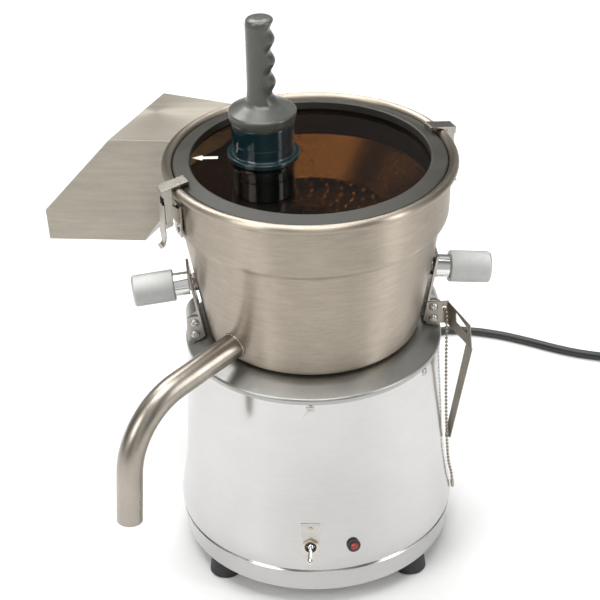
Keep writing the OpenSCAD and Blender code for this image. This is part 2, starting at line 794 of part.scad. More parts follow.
module bowl() {
    color([0.69, 0.66, 0.6])
    difference() {
        union() {
            rotate_extrude() bowl_section();
            for (a = [ear_turn, left_turn])
                at_turn(a) translate([strap_x(lock_z), 0, lock_z]) rotate([0, 90 + lock_slope, 0])
                    translate([0, 0, -strap_gap - 0.6]) cylinder(r = 9, h = strap_gap - 0.5);
        }
        for (a = [ear_turn, left_turn])
            at_turn(a) translate([strap_x(lock_z), 0, lock_z]) rotate([0, 90 + lock_slope, 0])
                translate([0, 0, -strap_gap + 0.2]) cylinder(r = 4.3, h = 20);
        spout_bore(spout_r - spout_wall, 85);
        intersection() {
            chute_block(chute_wall, 0);
            translate([-180, 0, 391]) cube([180, 180, 34]);
        }
        for (a = [latch_turn, latch_turn + 180], z = [396, 404])
            at_turn(a) translate([120, 0, z]) rotate([0, 90, 0]) cylinder(r = 1.6, h = 30);
    }
}

module separator_ring() {
    color([0.7, 0.66, 0.58])
    rotate_extrude()
        polygon([[125.5, 399], [band_low_r - bowl_wall + 0.2, 399],
                 [band_low_r - bowl_wall + 0.2, 400.5], [125.5, 400.5]]);
}

module juice_spout() {
    color([0.75, 0.73, 0.7])
    {
        difference() {
            spout_bore(spout_r, 100);
            spout_bore(spout_r - spout_wall, 90);
            rotate_extrude() bowl_outline(0);
        }
        spout_bend() difference() {
            circle(r = spout_r, $fn = 48);
            circle(r = spout_r - spout_wall, $fn = 48);
        }
    }
}

module pulp_chute() {
    color([0.73, 0.7, 0.64])
    difference() {
        chute_block(0, 0);
        chute_block(chute_wall, 5);
        rotate_extrude() bowl_outline(0);
    }
}

// ---------------------------------------------------------------- brackets and locks

// An angle bracket: a strap along the bowl and a flange on the front of its ear
module bracket(front) {
    difference() {
        union() {
            rotate([90, 0, 0]) translate([0, 0, front > 0 ? -ear_half - flange_t : -ear_half])
                linear_extrude(2 * ear_half + flange_t)
                    polygon([[strap_x(256), 256], [strap_x(256) + strap_t, 256],
                             [strap_x(bracket_top_z) + strap_t, bracket_top_z],
                             [strap_x(bracket_top_z), bracket_top_z]]);
            rotate([90, 0, 0]) translate([0, 0, front > 0 ? -ear_half - flange_t : ear_half])
                linear_extrude(flange_t)
                    polygon(concat(
                        [[strap_x(256) + 1, 256.5], [112.8, 255.2], [118, flange_z[0]]],
                        arc([128.3 - 4, flange_z[0] + 4], 4, -90, 0, 4),
                        arc([128.3 - 4, flange_z[1] - 4], 4, 0, 90, 4),
                        [[strap_x(flange_z[1]) + 1, flange_z[1]]]));
        }
        translate([strap_x(lock_z), 0, lock_z]) rotate([0, 90 + lock_slope, 0])
            translate([0, 0, -10]) cylinder(r = 8, h = 30);
        for (z = [259.5, 273])
            translate([120.5, -30, z]) rotate([-90, 0, 0]) cylinder(r = 2.2, h = 60);
    }
}

module bracket_left() {
    color([0.72, 0.71, 0.68]) at_turn(left_turn) bracket(1);
}

module bracket_right() {
    color([0.72, 0.71, 0.68]) at_turn(ear_turn) bracket(-1);
}

// A round-head screw that points along +Z, with its head's underside at 0
module round_screw(shank_r, shank, head_r) {
    translate([0, 0, -shank]) cylinder(r = shank_r, h = shank + 0.1);
    rotate_extrude()
        polygon(concat([[0, 0], [head_r, 0]], [for (p = arc([0, 0], head_r, 15, 90, 5)) [p[0], 0.7 * p[1]]]));
}

module bracket_screws() {
    color("silver") {
        for (z = [259.5, 273]) {
            at_turn(left_turn) translate([120.5, ear_half + flange_t, z]) rotate([-90, 0, 0])
                round_screw(2, 14, 4.6);
            at_turn(ear_turn) translate([120.5, -ear_half - flange_t - strap_sheet, z]) rotate([90, 0, 0])
                round_screw(2, 15, 4.6);
        }
    }
}

module lock_barrel() {
    translate([strap_x(lock_z), 0, lock_z]) rotate([0, 90 + lock_slope, 0]) difference() {
        union() {
            translate([0, 0, -0.6]) cylinder(r = 7.95, h = 8);
            translate([0, 0, 3.9]) cylinder(r = barrel_r, h = 20);
        }
        translate([0, 0, -10]) cylinder(r = 4.05, h = 60);
    }
}

module lock_barrels() {
    color([0.85, 0.85, 0.85]) {
        at_turn(ear_turn) lock_barrel();
        at_turn(left_turn) lock_barrel();
    }
}

// The pull knob, with the pin that enters the bowl's boss
module knob() {
    translate([strap_x(lock_z), 0, lock_z]) rotate([0, 90 + lock_slope, 0]) {
        difference() {
            translate([0, 0, knob_gap + 1]) rotate_extrude()
                polygon([[0, 0], [knob_r - 0.8, 0], [knob_r, 0.8], [knob_r, knob_len - 1.5],
                         [knob_r - 1.5, knob_len], [0, knob_len]]);
            translate([0, 0, knob_gap]) cylinder(r = barrel_r + 0.3, h = 8);
        }
        translate([0, 0, -2.4]) cylinder(r = 4, h = knob_gap + 13);
    }
}

module knob_left() {
    color([0.75, 0.76, 0.75]) at_turn(left_turn) knob();
}

module knob_right() {
    color([0.75, 0.76, 0.75]) at_turn(ear_turn) knob();
}

// ---------------------------------------------------------------- latches

module ear_plates(inner, t) {
    for (s = [-1, 1])
        translate([0, s * (inner + t / 2), 0]) rotate([90, 0, 0])
            linear_extrude(t, center = true) children();
}

module latch_base() {
    wall = band_top_r - 0.3;
    difference() {
        union() {
            translate([wall, -8, 391]) cube([1.8, 16, 33]);
            ear_plates(2.8, 1.2) {
                translate([pivot_r, lever_pivot_z]) circle(r = 3.6, $fn = 36);
                polygon([[wall + 1, 402], [wall + 1, 419], [pivot_r - 1, lever_pivot_z + 3.4],
                         [pivot_r + 2.6, lever_pivot_z - 2.5]]);
            }
        }
        for (z = [396, 404])
            translate([120, 0, z]) rotate([0, 90, 0]) cylinder(r = 1.6, h = 30);
        rotate_extrude() bowl_outline(0);
    }
    translate([pivot_r, 0, lever_pivot_z]) rotate([90, 0, 0])
        cylinder(r = latch_pin_r, h = 11.4, center = true);
}

module latch_bases() {
    color([0.62, 0.6, 0.56]) {
        at_turn(latch_turn) latch_base();
        at_turn(latch_turn + 180) latch_base();
    }
}

module latch_rivets() {
    color("silver")
    for (a = [latch_turn, latch_turn + 180], z = [396, 404])
        at_turn(a) translate([133, 0, z]) rotate([0, 90, 0]) {
            cylinder(r = 1.5, h = 6);
            translate([0, 0, 5.6]) cylinder(r = 2.6, h = 1.4);
        }
}

module latch_lever() {
    face = pivot_r + 4.3;
    difference() {
        union() {
            ear_plates(4.4, 1.2)
                polygon([[pivot_r - 3, lever_pivot_z + 2.6], [face + 0.4, lever_pivot_z + 2.6],
                         [face + 0.4, 402], [pivot_r - 3, hook_pivot_z - 3.6]]);
            translate([face, 0, 0]) rotate([90, 0, 90]) linear_extrude(1.2)
                polygon([[-5.6, 428], [5.6, 428], [5.6, 403.5], [8.1, 401], [8.1, 395], [5, 388],
                         [-5, 388], [-8.1, 395], [-8.1, 401], [-5.6, 403.5]]);
            rotate([90, 0, 0]) linear_extrude(9, center = true)
                polygon(concat(
                    [[face, 389], [face + 1.2, 389]],
                    arc([face + 5.2, 387], 4, 180, 275, 5),
                    arc([face + 5.2, 387], 5.2, 275, 180, 5)));
        }
        translate([pivot_r, 0, lever_pivot_z]) rotate([90, 0, 0])
            cylinder(r = latch_pin_r + pin_clear, h = 40, center = true);
    }
    translate([pivot_r, 0, hook_pivot_z]) rotate([90, 0, 0])
        cylinder(r = latch_pin_r, h = 14.6, center = true);
}

module lever_left() {
    color([0.66, 0.64, 0.6]) at_turn(latch_turn + 180) latch_lever();
}

module lever_right() {
    color([0.66, 0.64, 0.6]) at_turn(latch_turn) latch_lever();
}

// The claw: two arms, a sloping top plate over the rim and a lip on the lid's seal
module latch_hook() {
    difference() {
        union() {
            ear_plates(6, 1.2) {
                translate([pivot_r, hook_pivot_z]) circle(r = 3.6, $fn = 36);
                polygon([[pivot_r - 3.4, hook_pivot_z], [pivot_r + 3.4, hook_pivot_z],
                         [152.6, 432], [154.2, 443.4], [144.9, 445], [144.9, 432]]);
            }
            rotate([90, 0, 0]) linear_extrude(14.4, center = true)
                polygon([[127, 448], [127, 443], [128.2, 443], [128.2, 446.6], [154.6, 442.7],
                         [154.6, 443.9], [128.2, 449]]);
            rotate([90, 0, 0]) linear_extrude(14.4, center = true)
                polygon([[153.2, 437], [154.3, 437], [155, 444], [153.8, 444]]);
        }
        translate([pivot_r, 0, hook_pivot_z]) rotate([90, 0, 0])
            cylinder(r = latch_pin_r + pin_clear, h = 40, center = true);
    }
}

module hook_left() {
    color([0.78, 0.77, 0.75]) at_turn(latch_turn + 180) latch_hook();
}

module hook_right() {
    color([0.78, 0.77, 0.75]) at_turn(latch_turn) latch_hook();
}

// ---------------------------------------------------------------- lid, feed tube and plunger

module lid_plate() {
    color([0.35, 0.25, 0.15, 0.5])
    difference() {
        translate([0, 0, lid_top_z - lid_t]) cylinder(r = seal_out_r - 3, h = lid_t, $fn = 120);
        translate([tube_x, tube_y, lid_top_z - lid_t - 1]) cylinder(r = tube_r, h = lid_t + 2);
    }
}

module lid_seal() {
    color([0.35, 0.35, 0.32])
    rotate_extrude($fn = 120)
        polygon([[seal_in_r + 3, lid_top_z - lid_t], [seal_in_r + 3, 428.2], [seal_out_r, 428.2],
                 [seal_out_r, 440.6], [seal_out_r - 1.2, 441.4], [seal_in_r + 1, 445],
                 [seal_in_r, 444], [seal_in_r, lid_top_z], [seal_out_r - 3, lid_top_z],
                 [seal_out_r - 3, lid_top_z - lid_t]]);
}

module lid_arrow() {
    color([0.95, 0.9, 0.82])
    translate([-102, 12, lid_top_z]) linear_extrude(0.3)
        polygon([[-12.5, 0], [-2.5, 5.2], [-2.5, 2.4], [12.5, 2.4], [12.5, -2.4], [-2.5, -2.4],
                 [-2.5, -5.2]]);
}

module feed_tube() {
    color([0.35, 0.5, 0.52, 0.5])
    translate([tube_x, tube_y, 0]) rotate_extrude()
        polygon([[tube_r - tube_wall, tube_low_z], [tube_r, tube_low_z], [tube_r, lid_top_z],
                 [34.8, lid_top_z], [35.7, lid_top_z + 1], [35.7, lid_top_z + 4.4],
                 [34.8, lid_top_z + 5.4], [tube_r + 0.6, lid_top_z + 5.4], [tube_r, 443.5],
                 [tube_r, 454], [tube_r + 0.5, 455], [tube_r + 0.5, tube_top_z],
                 [tube_r - tube_wall, tube_top_z]]);
}

module pusher() {
    color([0.05, 0.1, 0.11])
    translate([tube_x, tube_y, 0]) rotate_extrude()
        polygon([[0, pusher_low_z], [pusher_r - 2, pusher_low_z], [pusher_r, pusher_low_z + 2],
                 [pusher_r, tube_top_z + 0.6], [0, tube_top_z + 0.6]]);
}

// The moulded handle: a dome over the tube and a grip with finger grooves on its +X side
module plunger_grip() {
    low = tube_top_z + 0.6;
    color([0.42, 0.43, 0.4])
    translate([tube_x, tube_y, 0]) difference() {
        rotate_extrude()
            polygon(concat(
                [[0, low], [dome_r - 1.6, low], [dome_r - 0.3, low + 3.5], [dome_r, low + 6]],
                arc([dome_r - 3.6, low + 8], 3.6, 0, 60, 4),
                [[grip_r + 4, low + 18.4], [grip_r + 1, low + 20.4], [grip_r + 0.6, low + 24],
                 [grip_r, low + 27], [grip_r, grip_top_z - 4]],
                arc([grip_r - 4, grip_top_z - 4], 4, 15, 90, 4),
                [[0, grip_top_z]]));
        for (k = [0:3])
            translate([grip_r + 6.4, 0, grip_top_z - 11.5 - k * groove_pitch])
                rotate([90, 0, 0]) cylinder(r = 10.6, h = 60, center = true);
    }
}

// ---------------------------------------------------------------- strap and chain

strap_front = -ear_half - flange_t - strap_sheet;
strap_fold = [135.3, strap_front, 0];
panel_way = [0.727, -0.687, 0];

// A point of the strap's slotted panel: s along it from the fold, at height z
function on_panel(s, z) = strap_fold + s * panel_way + [0, 0, z];

// The bent strap: a tab on the bracket, a slotted panel and a long leg beside the body
module tool_strap() {
    t = strap_sheet;
    knee = [on_panel(22.9, 237.2), on_panel(30.3, 232)];
    tip = [[140.8, -21.6, 112], [135.4, -18.4, 113]];
    color([0.5, 0.46, 0.42])
    at_turn(ear_turn) {
        difference() {
            translate([113.5, strap_front, 253]) cube([strap_fold[0] - 113.3, t, 25.5]);
            for (p = [[120.5, 259.5], [120.5, 273], [131.5, 271]])
                translate([p[0], strap_front - 5, p[1]]) rotate([-90, 0, 0]) cylinder(r = 2.1, h = 10);
        }
        flat([on_panel(-0.5, 252.8), on_panel(30.3, 232), on_panel(27.5, 259.5), on_panel(0, 278.5)], t,
             [on_panel(10.8, 257.5), on_panel(24.6, 247.5), on_panel(24.4, 255.8), on_panel(10.2, 269.5)]);
        rod(on_panel(0, 252.6) + [0, 0.4, 0], on_panel(0, 278.4) + [0, 0.4, 0], 0.7);
        flat([knee[0], tip[1], tip[0], knee[1]], t);
        rod(knee[0] + [0.2, 0.4, 0], knee[1] + [0, 0.4, 0.3], 0.7);
    }
}

chain_points = [[132.4, -6.9, 271], [133.6, -9, 270.5], [134.6, -10, 266], [135, -10, 250],
                [135.2, -10.2, 220], [135.6, -10.6, 190], [136.2, -11, 160], [137, -12, 135],
                [138.2, -12.6, 110], [140.2, -12.4, 85], [143.6, -11, 68], [145, -10.6, 54]];

module bead_chain() {
    color([0.6, 0.55, 0.5]) tube_along(smooth_path(chain_points), ball_r, 8, [0, 1, 0]);
}

on_axis() feet();
on_axis() foot_bolts();
on_axis() base_plate();
on_axis() base_ring();
on_axis() body_shell();
on_axis() top_casting();
on_axis() body_screws();
on_axis() motor_case();
on_axis() stator();
on_axis() motor_bolts();
on_axis() upper_bearing();
on_axis() lower_bearing();
on_axis() run_capacitor();
on_axis() bearing_tower();
on_axis() shaft_seal();
on_axis() switch_plate();
on_axis() switch_body();
on_axis() switch_nut();
on_axis() toggle_lever();
on_axis() breaker_body();
on_axis() breaker_button();
on_axis() cord_gland();
on_axis() power_cord();
on_axis() cord_coil();
on_axis() plug_body();
on_axis() plug_pins();
on_axis() bowl();
on_axis() separator_ring();
on_axis() juice_spout();
on_axis() pulp_chute();
on_axis() bracket_left();
on_axis() bracket_right();
on_axis() bracket_screws();
on_axis() lock_barrels();
on_axis() knob_left();
on_axis() knob_right();
on_axis() latch_bases();
on_axis() latch_rivets();
on_axis() lever_left();
on_axis() lever_right();
on_axis() hook_left();
on_axis() hook_right();
on_axis() lid_plate();
on_axis() lid_seal();
on_axis() lid_arrow();
on_axis() feed_tube();
on_axis() plunger_grip();
on_axis() pusher();
on_axis() motor_shaft();
on_axis() rotor_core();
on_axis() cooling_fan();
on_axis() drive_hub();
on_axis() strainer_basket();
on_axis() grater_disc();
on_axis() hub_nut();
on_axis() tool_strap();
on_axis() bead_chain();
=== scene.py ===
# %% [markdown]
# # A centrifugal juice extractor, piece by piece
# The hard frame of this machine is already solved in CAD: it arrives as one
# mesh per part, in metres. This lesson dresses it. It loads the frame, sets up
# the camera and the mains cord first, because their room on the table is fixed,
# and then goes through the materials and the pieces that deserve finer meshes.
# Plans are drawn in millimetres from the machine's own upright axis, so two
# values turn them into the frame's metres: MM, and where that axis stands.

# %% Load the frame
import math

import bmesh
import bpy
from mathutils import Matrix, Vector


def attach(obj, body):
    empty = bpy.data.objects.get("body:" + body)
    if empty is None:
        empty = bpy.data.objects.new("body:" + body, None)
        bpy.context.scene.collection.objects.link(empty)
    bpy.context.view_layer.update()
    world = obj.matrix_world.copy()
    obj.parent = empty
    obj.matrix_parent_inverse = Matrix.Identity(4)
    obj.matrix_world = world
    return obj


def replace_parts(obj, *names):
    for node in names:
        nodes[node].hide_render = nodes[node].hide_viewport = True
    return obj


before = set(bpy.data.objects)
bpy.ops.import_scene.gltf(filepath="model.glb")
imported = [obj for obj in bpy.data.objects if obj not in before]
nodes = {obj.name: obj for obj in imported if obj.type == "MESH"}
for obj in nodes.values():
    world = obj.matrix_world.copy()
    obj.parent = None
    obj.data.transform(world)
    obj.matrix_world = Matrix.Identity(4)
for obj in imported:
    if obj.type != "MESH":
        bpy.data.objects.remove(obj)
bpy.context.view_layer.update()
AXIS_X = 0.0455
MM = 0.001


def shown(name, data):
    """A new object for that mesh, curve, light or camera, linked to the scene."""
    made = bpy.data.objects.new(name, data)
    bpy.context.scene.collection.objects.link(made)
    return made


# %% [markdown]
# ## Camera
# The studio camera stands about two metres off and looks down on the machine.
# A long lens keeps the cone of the bowl from spreading. The matrix is built from
# a pitch and a small roll, so every number in it means something.

# %% Camera


def aim_camera(place, pitch, swing, roll, lens):
    down, tip = math.radians(pitch), math.radians(roll)
    look = Vector((swing * math.cos(down), math.cos(down), -math.sin(down)))
    look = look.normalized()
    right = look.cross(Vector((0, 0, 1))).normalized()
    up = right.cross(look)
    side = right * math.cos(tip) - up * math.sin(tip)
    head = up * math.cos(tip) + right * math.sin(tip)
    camera = shown("studio_camera", bpy.data.cameras.new("studio_camera"))
    camera.matrix_world = Matrix((
        (side.x, head.x, -look.x, place[0]),
        (side.y, head.y, -look.y, place[1]),
        (side.z, head.z, -look.z, place[2]),
        (0, 0, 0, 1)))
    camera.data.lens = lens
    camera.data.sensor_width = 36
    camera.data.clip_end = 50
    bpy.context.scene.camera = camera
    return camera


camera = aim_camera(
    (AXIS_X, -1.6174, 1.2822), pitch=31.78, swing=-0.0080, roll=1.339, lens=113.1)
print("camera at", tuple(round(v, 3) for v in camera.location))

# %% [markdown]
# ## Smooth routes
# A cord is a smooth line through a few given points. A Catmull-Rom spline
# passes through each of them, which makes a route easy to plan on paper.

# %% Smooth routes


def smooth_route(points, per=6):
    pts = [Vector(p) for p in points]
    ends = [2 * pts[0] - pts[1]] + pts + [2 * pts[-1] - pts[-2]]
    route = []
    for a, b, c, d in zip(ends, ends[1:], ends[2:], ends[3:]):
        for k in range(per):
            t = k / per
            bow, twist = 2 * a - 5 * b + 4 * c - d, 3 * b - a - 3 * c + d
            route.append(0.5 * (2 * b + (c - a) * t + bow * t * t + twist * t ** 3))
    return route + [pts[-1]]


def row_points(points):
    """Points in millimetres from the machine's axis, as metres in the frame."""
    return [Vector((p[0] * MM + AXIS_X, p[1] * MM, p[2] * MM)) for p in points]


def route_length(route):
    return sum((b - a).length for a, b in zip(route, route[1:]))


def ease(t):
    """A smooth step: 0 up to t = 0, 1 from t = 1, and an even curve between them."""
    t = min(1.0, max(0.0, t))
    return t * t * (3 - 2 * t)


print("a straight metre measures", round(route_length(smooth_route([(0, 0, 0), (1, 0, 0)])), 3))

# %% [markdown]
# ## Mains cord
# The rubber cord leaves the back of the base, drops to the table and runs off to
# the right. What is left of it is wound in a coil of a little over three turns,
# in two layers, and its tail lies down into the plug. The turns are worked out
# from the angle that has been wound: the cord moves in by one lane, up by one
# layer, and out by one lane again, so that no turn runs through another.

# %% Mains cord
CORD_R = 4.75
cord_lead = [
    (30.77, 174.5, 31), (34, 196, 28), (40, 218, 20.5), (48, 242, 11), (58, 266, 6),
    (70, 290, 5), (88, 318, 5), (112, 342, 5), (140, 358, 5), (170, 366, 5),
    (202, 362, 5), (234, 352, 5), (266, 337, 5), (296, 321, 5), (326, 308, 5),
    (362, 299, 5)]
COIL_CENTRE, COIL_START, COIL_WOUND, COIL_STEPS = (430, 250), 121.6, 1201.6, 60
COIL_R, LANE, LYING, LAYER = 56.75, 9.5, 5, 9.6


def coil_point(turned):
    """Where the cord lies once that many degrees have been wound."""
    ring = COIL_R + 4.25 * (1 - ease(turned / 40)) - LANE * ease((turned - 300) / 100)
    ring += LANE * ease((turned - 940) / 60)
    height = LYING + LAYER * ease((turned - 640) / 60)
    angle = math.radians(COIL_START - turned)
    return (COIL_CENTRE[0] + ring * math.cos(angle),
            COIL_CENTRE[1] + ring * math.sin(angle), height)


cord_tail = [(486.2, 228, 14.6), (484.6, 208, 13.6), (483, 190, 10.9), (482, 170, 8.8)]
coil = [coil_point(COIL_WOUND * k / COIL_STEPS) for k in range(COIL_STEPS + 1)]
cord_route = smooth_route(row_points(cord_lead + coil + cord_tail), per=6)


def curve_cord(name, route, radius):
    line = bpy.data.curves.new(name, "CURVE")
    line.dimensions = "3D"
    spline = line.splines.new("POLY")
    spline.points.add(len(route) - 1)
    for point, p in zip(spline.points, route):
        point.co = (*p, 1)
    line.bevel_depth = radius
    line.bevel_resolution = 5
    line.use_fill_caps = True
    return shown(name, line)


cord = curve_cord("mains_cord", cord_route, CORD_R * MM)
cord_length = route_length(cord_route)
print("mains cord:", round(cord_length, 3), "m in", len(cord_route), "points")

# %% [markdown]
# ## Mesh helpers
# Nearly every turned part is a profile spun about an axis, so one function makes
# them all. Its corners are rounded first: a knife edge never catches light, and
# a real edge always does. Tubes and beads are rings of points joined by quads,
# and a second helper counts those out. Normals are made to agree at the end.

# %% Mesh helpers
SAME_POINT, NEARLY_STRAIGHT = 2e-6, 3.05
ACROSS = Matrix.Rotation(math.radians(90), 4, "Y")


def piece_from(name, points, faces):
    mesh = bpy.data.meshes.new(name)
    mesh.from_pydata([tuple(p) for p in points], [], faces)
    mesh.validate()
    joined = bmesh.new()
    joined.from_mesh(mesh)
    bmesh.ops.remove_doubles(joined, verts=joined.verts, dist=SAME_POINT)
    bmesh.ops.recalc_face_normals(joined, faces=joined.faces)
    joined.to_mesh(mesh)
    joined.free()
    mesh.shade_smooth()
    return shown(name, mesh)


def ring_faces(rings, steps, closed=False):
    """Quads between rings of points; closed also joins the last ring to the first."""
    return [(r * steps + k, r * steps + (k + 1) % steps,
             (r + 1) % rings * steps + (k + 1) % steps, (r + 1) % rings * steps + k)
            for r in range(rings if closed else rings - 1) for k in range(steps)]


def rounded(profile, radius, closed=False, steps=4):
    """The profile with each corner turned into an arc of that radius, if it fits.

    A third number in a corner is that corner's own radius.
    """
    done, count = [], len(profile)
    for i, corner in enumerate(profile):
        here = Vector(corner[:2])
        if not closed and i in (0, count - 1):
            done.append(here)
            continue
        before = Vector(profile[i - 1][:2]) - here
        after = Vector(profile[(i + 1) % count][:2]) - here
        wanted = corner[2] if len(corner) > 2 else radius
        angle = before.angle(after) if before.length * after.length > 0 else math.pi
        if wanted <= 0 or angle > NEARLY_STRAIGHT:
            done.append(here)
            continue
        cut = min(wanted / math.tan(angle / 2), 0.45 * before.length, 0.45 * after.length)
        a = here + before.normalized() * cut
        b = here + after.normalized() * cut
        for k in range(steps + 1):
            t = k / steps
            done.append(a * (1 - t) ** 2 + here * 2 * t * (1 - t) + b * t * t)
    return done


def spun(name, profile, steps=96, closed=True, place=None):
    """A profile of (radius, height) in millimetres spun about Z, then put in place."""
    place = place or Matrix.Translation((AXIS_X, 0, 0))
    points, faces, count = [], [], len(profile)
    for k in range(steps):
        turn = 2 * math.pi * k / steps
        for p in profile:
            ring = max(p[0], 0)
            points.append((ring * math.cos(turn) * MM, ring * math.sin(turn) * MM, p[1] * MM))
    for k in range(steps):
        m = (k + 1) % steps
        for i in range(count if closed else count - 1):
            j = (i + 1) % count
            faces.append((k * count + i, m * count + i, m * count + j, k * count + j))
    return piece_from(name, [place @ Vector(p) for p in points], faces)


def about_axis(turn, x, y, z):
    """A place in millimetres, in axes that are turned about the machine's own."""
    return (Matrix.Translation((AXIS_X, 0, 0)) @ Matrix.Rotation(math.radians(turn), 4, "Z")
            @ Matrix.Translation((x * MM, y * MM, z * MM)))


def facing(place, way):
    """A place whose Z axis points along that way."""
    return Matrix.Translation(place) @ way.to_track_quat("Z", "Y").to_matrix().to_4x4()


def even_shading(piece, angle=40):
    """Keeps flat faces flat: weighted normals, and creases above the angle stay sharp."""
    piece.data.set_sharp_from_angle(angle=math.radians(angle))
    piece.modifiers.new("even_shading", "WEIGHTED_NORMAL").keep_sharp = True
    return piece


print("mesh helpers ready")

# %% [markdown]
# ## Soft edges on the CAD parts
# The CAD meshes have knife edges. Their faces arrive split, so a Weld modifier
# joins them again, a Bevel of a few tenths of a millimetre rounds what is sharp,
# and weighted normals keep the large faces flat. The meshes stay as they are.

# %% Soft edges on the CAD parts
SHARP_FROM, EDGE_STEPS = math.radians(35), 2


def soft_edges(node, width):
    piece = nodes[node]
    weld = piece.modifiers.new("rejoin", "WELD")
    weld.merge_threshold = SAME_POINT
    edge = piece.modifiers.new("soft_edge", "BEVEL")
    edge.width = width * MM
    edge.segments = EDGE_STEPS
    edge.limit_method = "ANGLE"
    edge.angle_limit = SHARP_FROM
    edge.use_clamp_overlap = True
    edge.miter_outer = "MITER_ARC"
    even = piece.modifiers.new("even_shading", "WEIGHTED_NORMAL")
    even.keep_sharp = False


edge_widths = {
    "base_ring": 0.4, "body_shell": 0.35, "top_casting": 0.7, "bracket_left": 0.35,
    "bracket_right": 0.35, "tool_strap": 0.22, "latch_bases": 0.25, "lever_left": 0.22,
    "lever_right": 0.22, "hook_left": 0.22, "hook_right": 0.22, "pulp_chute": 0.3,
    "lid_plate": 0.4, "switch_plate": 0.2, "switch_nut": 0.25, "switch_body": 0.4,
    "breaker_body": 0.4, "lock_barrels": 0.4, "plug_pins": 0.3, "base_plate": 0.5,
    "motor_case": 1.2, "hub_nut": 0.5, "drive_hub": 0.5, "grater_disc": 0.3,
    "foot_bolts": 0.3, "run_capacitor": 0.8, "latch_rivets": 0.4, "rotor_core": 0.5}
for node, width in edge_widths.items():
    soft_edges(node, width)
print("soft edges on", len(edge_widths), "nodes")

# %% [markdown]
# ## Wiring helper
# Materials are graphs of nodes. This small function adds one node, sets its
# fields and links or fills its sockets, so a whole material reads like a recipe.
# Some nodes give two sockets one name, so those are called by their number: a Mix
# node blends the colours 6 and 7 by 0, and Map Range takes 0 from the range 1 to 2
# into the range 3 to 4.

# %% Wiring helper


def add(tree, kind, feeds=None, **settings):
    made = tree.nodes.new("ShaderNode" + kind)
    for field, value in settings.items():
        setattr(made, field, value)
    for socket, value in (feeds or {}).items():
        if isinstance(value, bpy.types.NodeSocket):
            tree.links.new(value, made.inputs[socket])
        else:
            made.inputs[socket].default_value = value
    return made


def sums(tree, operation, a, b=0.0, c=0.0):
    return add(tree, "Math", {0: a, 1: b, 2: c}, operation=operation).outputs[0]


def new_group(name, inputs, outputs):
    tree = bpy.data.node_groups.new(name, "ShaderNodeTree")
    for label, value in inputs.items():
        socket = tree.interface.new_socket(
            label, in_out="INPUT", socket_type="NodeSocketFloat")
        socket.default_value = value
    for label in outputs:
        tree.interface.new_socket(label, in_out="OUTPUT", socket_type="NodeSocketFloat")
    return tree, tree.nodes.new("NodeGroupInput").outputs, tree.nodes.new("NodeGroupOutput")


print("wiring helper ready")

# %% [markdown]
# ## Spun grain
# Stainless bowls are polished while they turn, so their fine scratches run round
# the axis. The group measures the radius and height of each point about the
# machine's axis and stretches a four-dimensional noise along the turn. Cosine and
# sine of the angle feed two of its dimensions, so there is no seam at the back.
# A second, much coarser noise of the same kind gives the broader streaks.

# %% Spun grain
STREAK_SHARE = 0.16
spun_grain, given, result = new_group(
    "Spun grain", {"Lines": 1500, "Length": 6}, ["Height", "Streak"])
place = add(spun_grain, "TexCoord").outputs["Object"]
xyz = add(spun_grain, "SeparateXYZ", {0: place}).outputs
east = sums(spun_grain, "SUBTRACT", xyz[0], AXIS_X)
square = sums(spun_grain, "ADD", sums(spun_grain, "MULTIPLY", east, east),
              sums(spun_grain, "MULTIPLY", xyz[1], xyz[1]))
radius = sums(spun_grain, "SQRT", square)
turn = sums(spun_grain, "ARCTAN2", xyz[1], east)
around = sums(spun_grain, "MULTIPLY", sums(spun_grain, "COSINE", turn), given["Length"])
across = sums(spun_grain, "MULTIPLY", sums(spun_grain, "SINE", turn), given["Length"])
for label, share in (("Height", 1.0), ("Streak", STREAK_SHARE)):
    lines = sums(spun_grain, "MULTIPLY", given["Lines"], share)
    vector = add(spun_grain, "CombineXYZ", {
        0: sums(spun_grain, "MULTIPLY", radius, lines),
        1: sums(spun_grain, "MULTIPLY", xyz[2], lines), 2: around})
    noise = add(spun_grain, "TexNoise", {
        "Vector": vector.outputs[0], "W": across, "Scale": 1.0, "Detail": 3.0,
        "Roughness": 0.65}, noise_dimensions="4D")
    spun_grain.links.new(noise.outputs[0], result.inputs[label])
print("group:", spun_grain.name)

# %% [markdown]
# ## Drawn grain
# Flat sheet is brushed along its length instead. The same idea in plain
# coordinates: noise that is stretched along X and tight across it.

# %% Drawn grain
drawn_grain, given, result = new_group(
    "Drawn grain", {"Along": 25, "Across": 1800, "Upright": 1800}, ["Height", "Streak"])
place = add(drawn_grain, "TexCoord").outputs["Object"]
for label, share in (("Height", 1.0), ("Streak", STREAK_SHARE)):
    scale = add(drawn_grain, "CombineXYZ", {
        i: sums(drawn_grain, "MULTIPLY", given[i], share) for i in range(3)})
    vector = add(drawn_grain, "VectorMath", {0: place, 1: scale.outputs[0]},
                 operation="MULTIPLY")
    noise = add(drawn_grain, "TexNoise", {
        "Vector": vector.outputs[0], "Scale": 1.0, "Detail": 3.0, "Roughness": 0.65})
    drawn_grain.links.new(noise.outputs[0], result.inputs[label])
print("group:", drawn_grain.name)

# %% [markdown]
# ## Handling marks
# Nothing in a kitchen stays evenly clean. Cloudy patches from wiping and a few
# finer specks come from two noises, and leave as one mask for colour and gloss.
# A second mask is the same marks on what faces up, where dust settles.

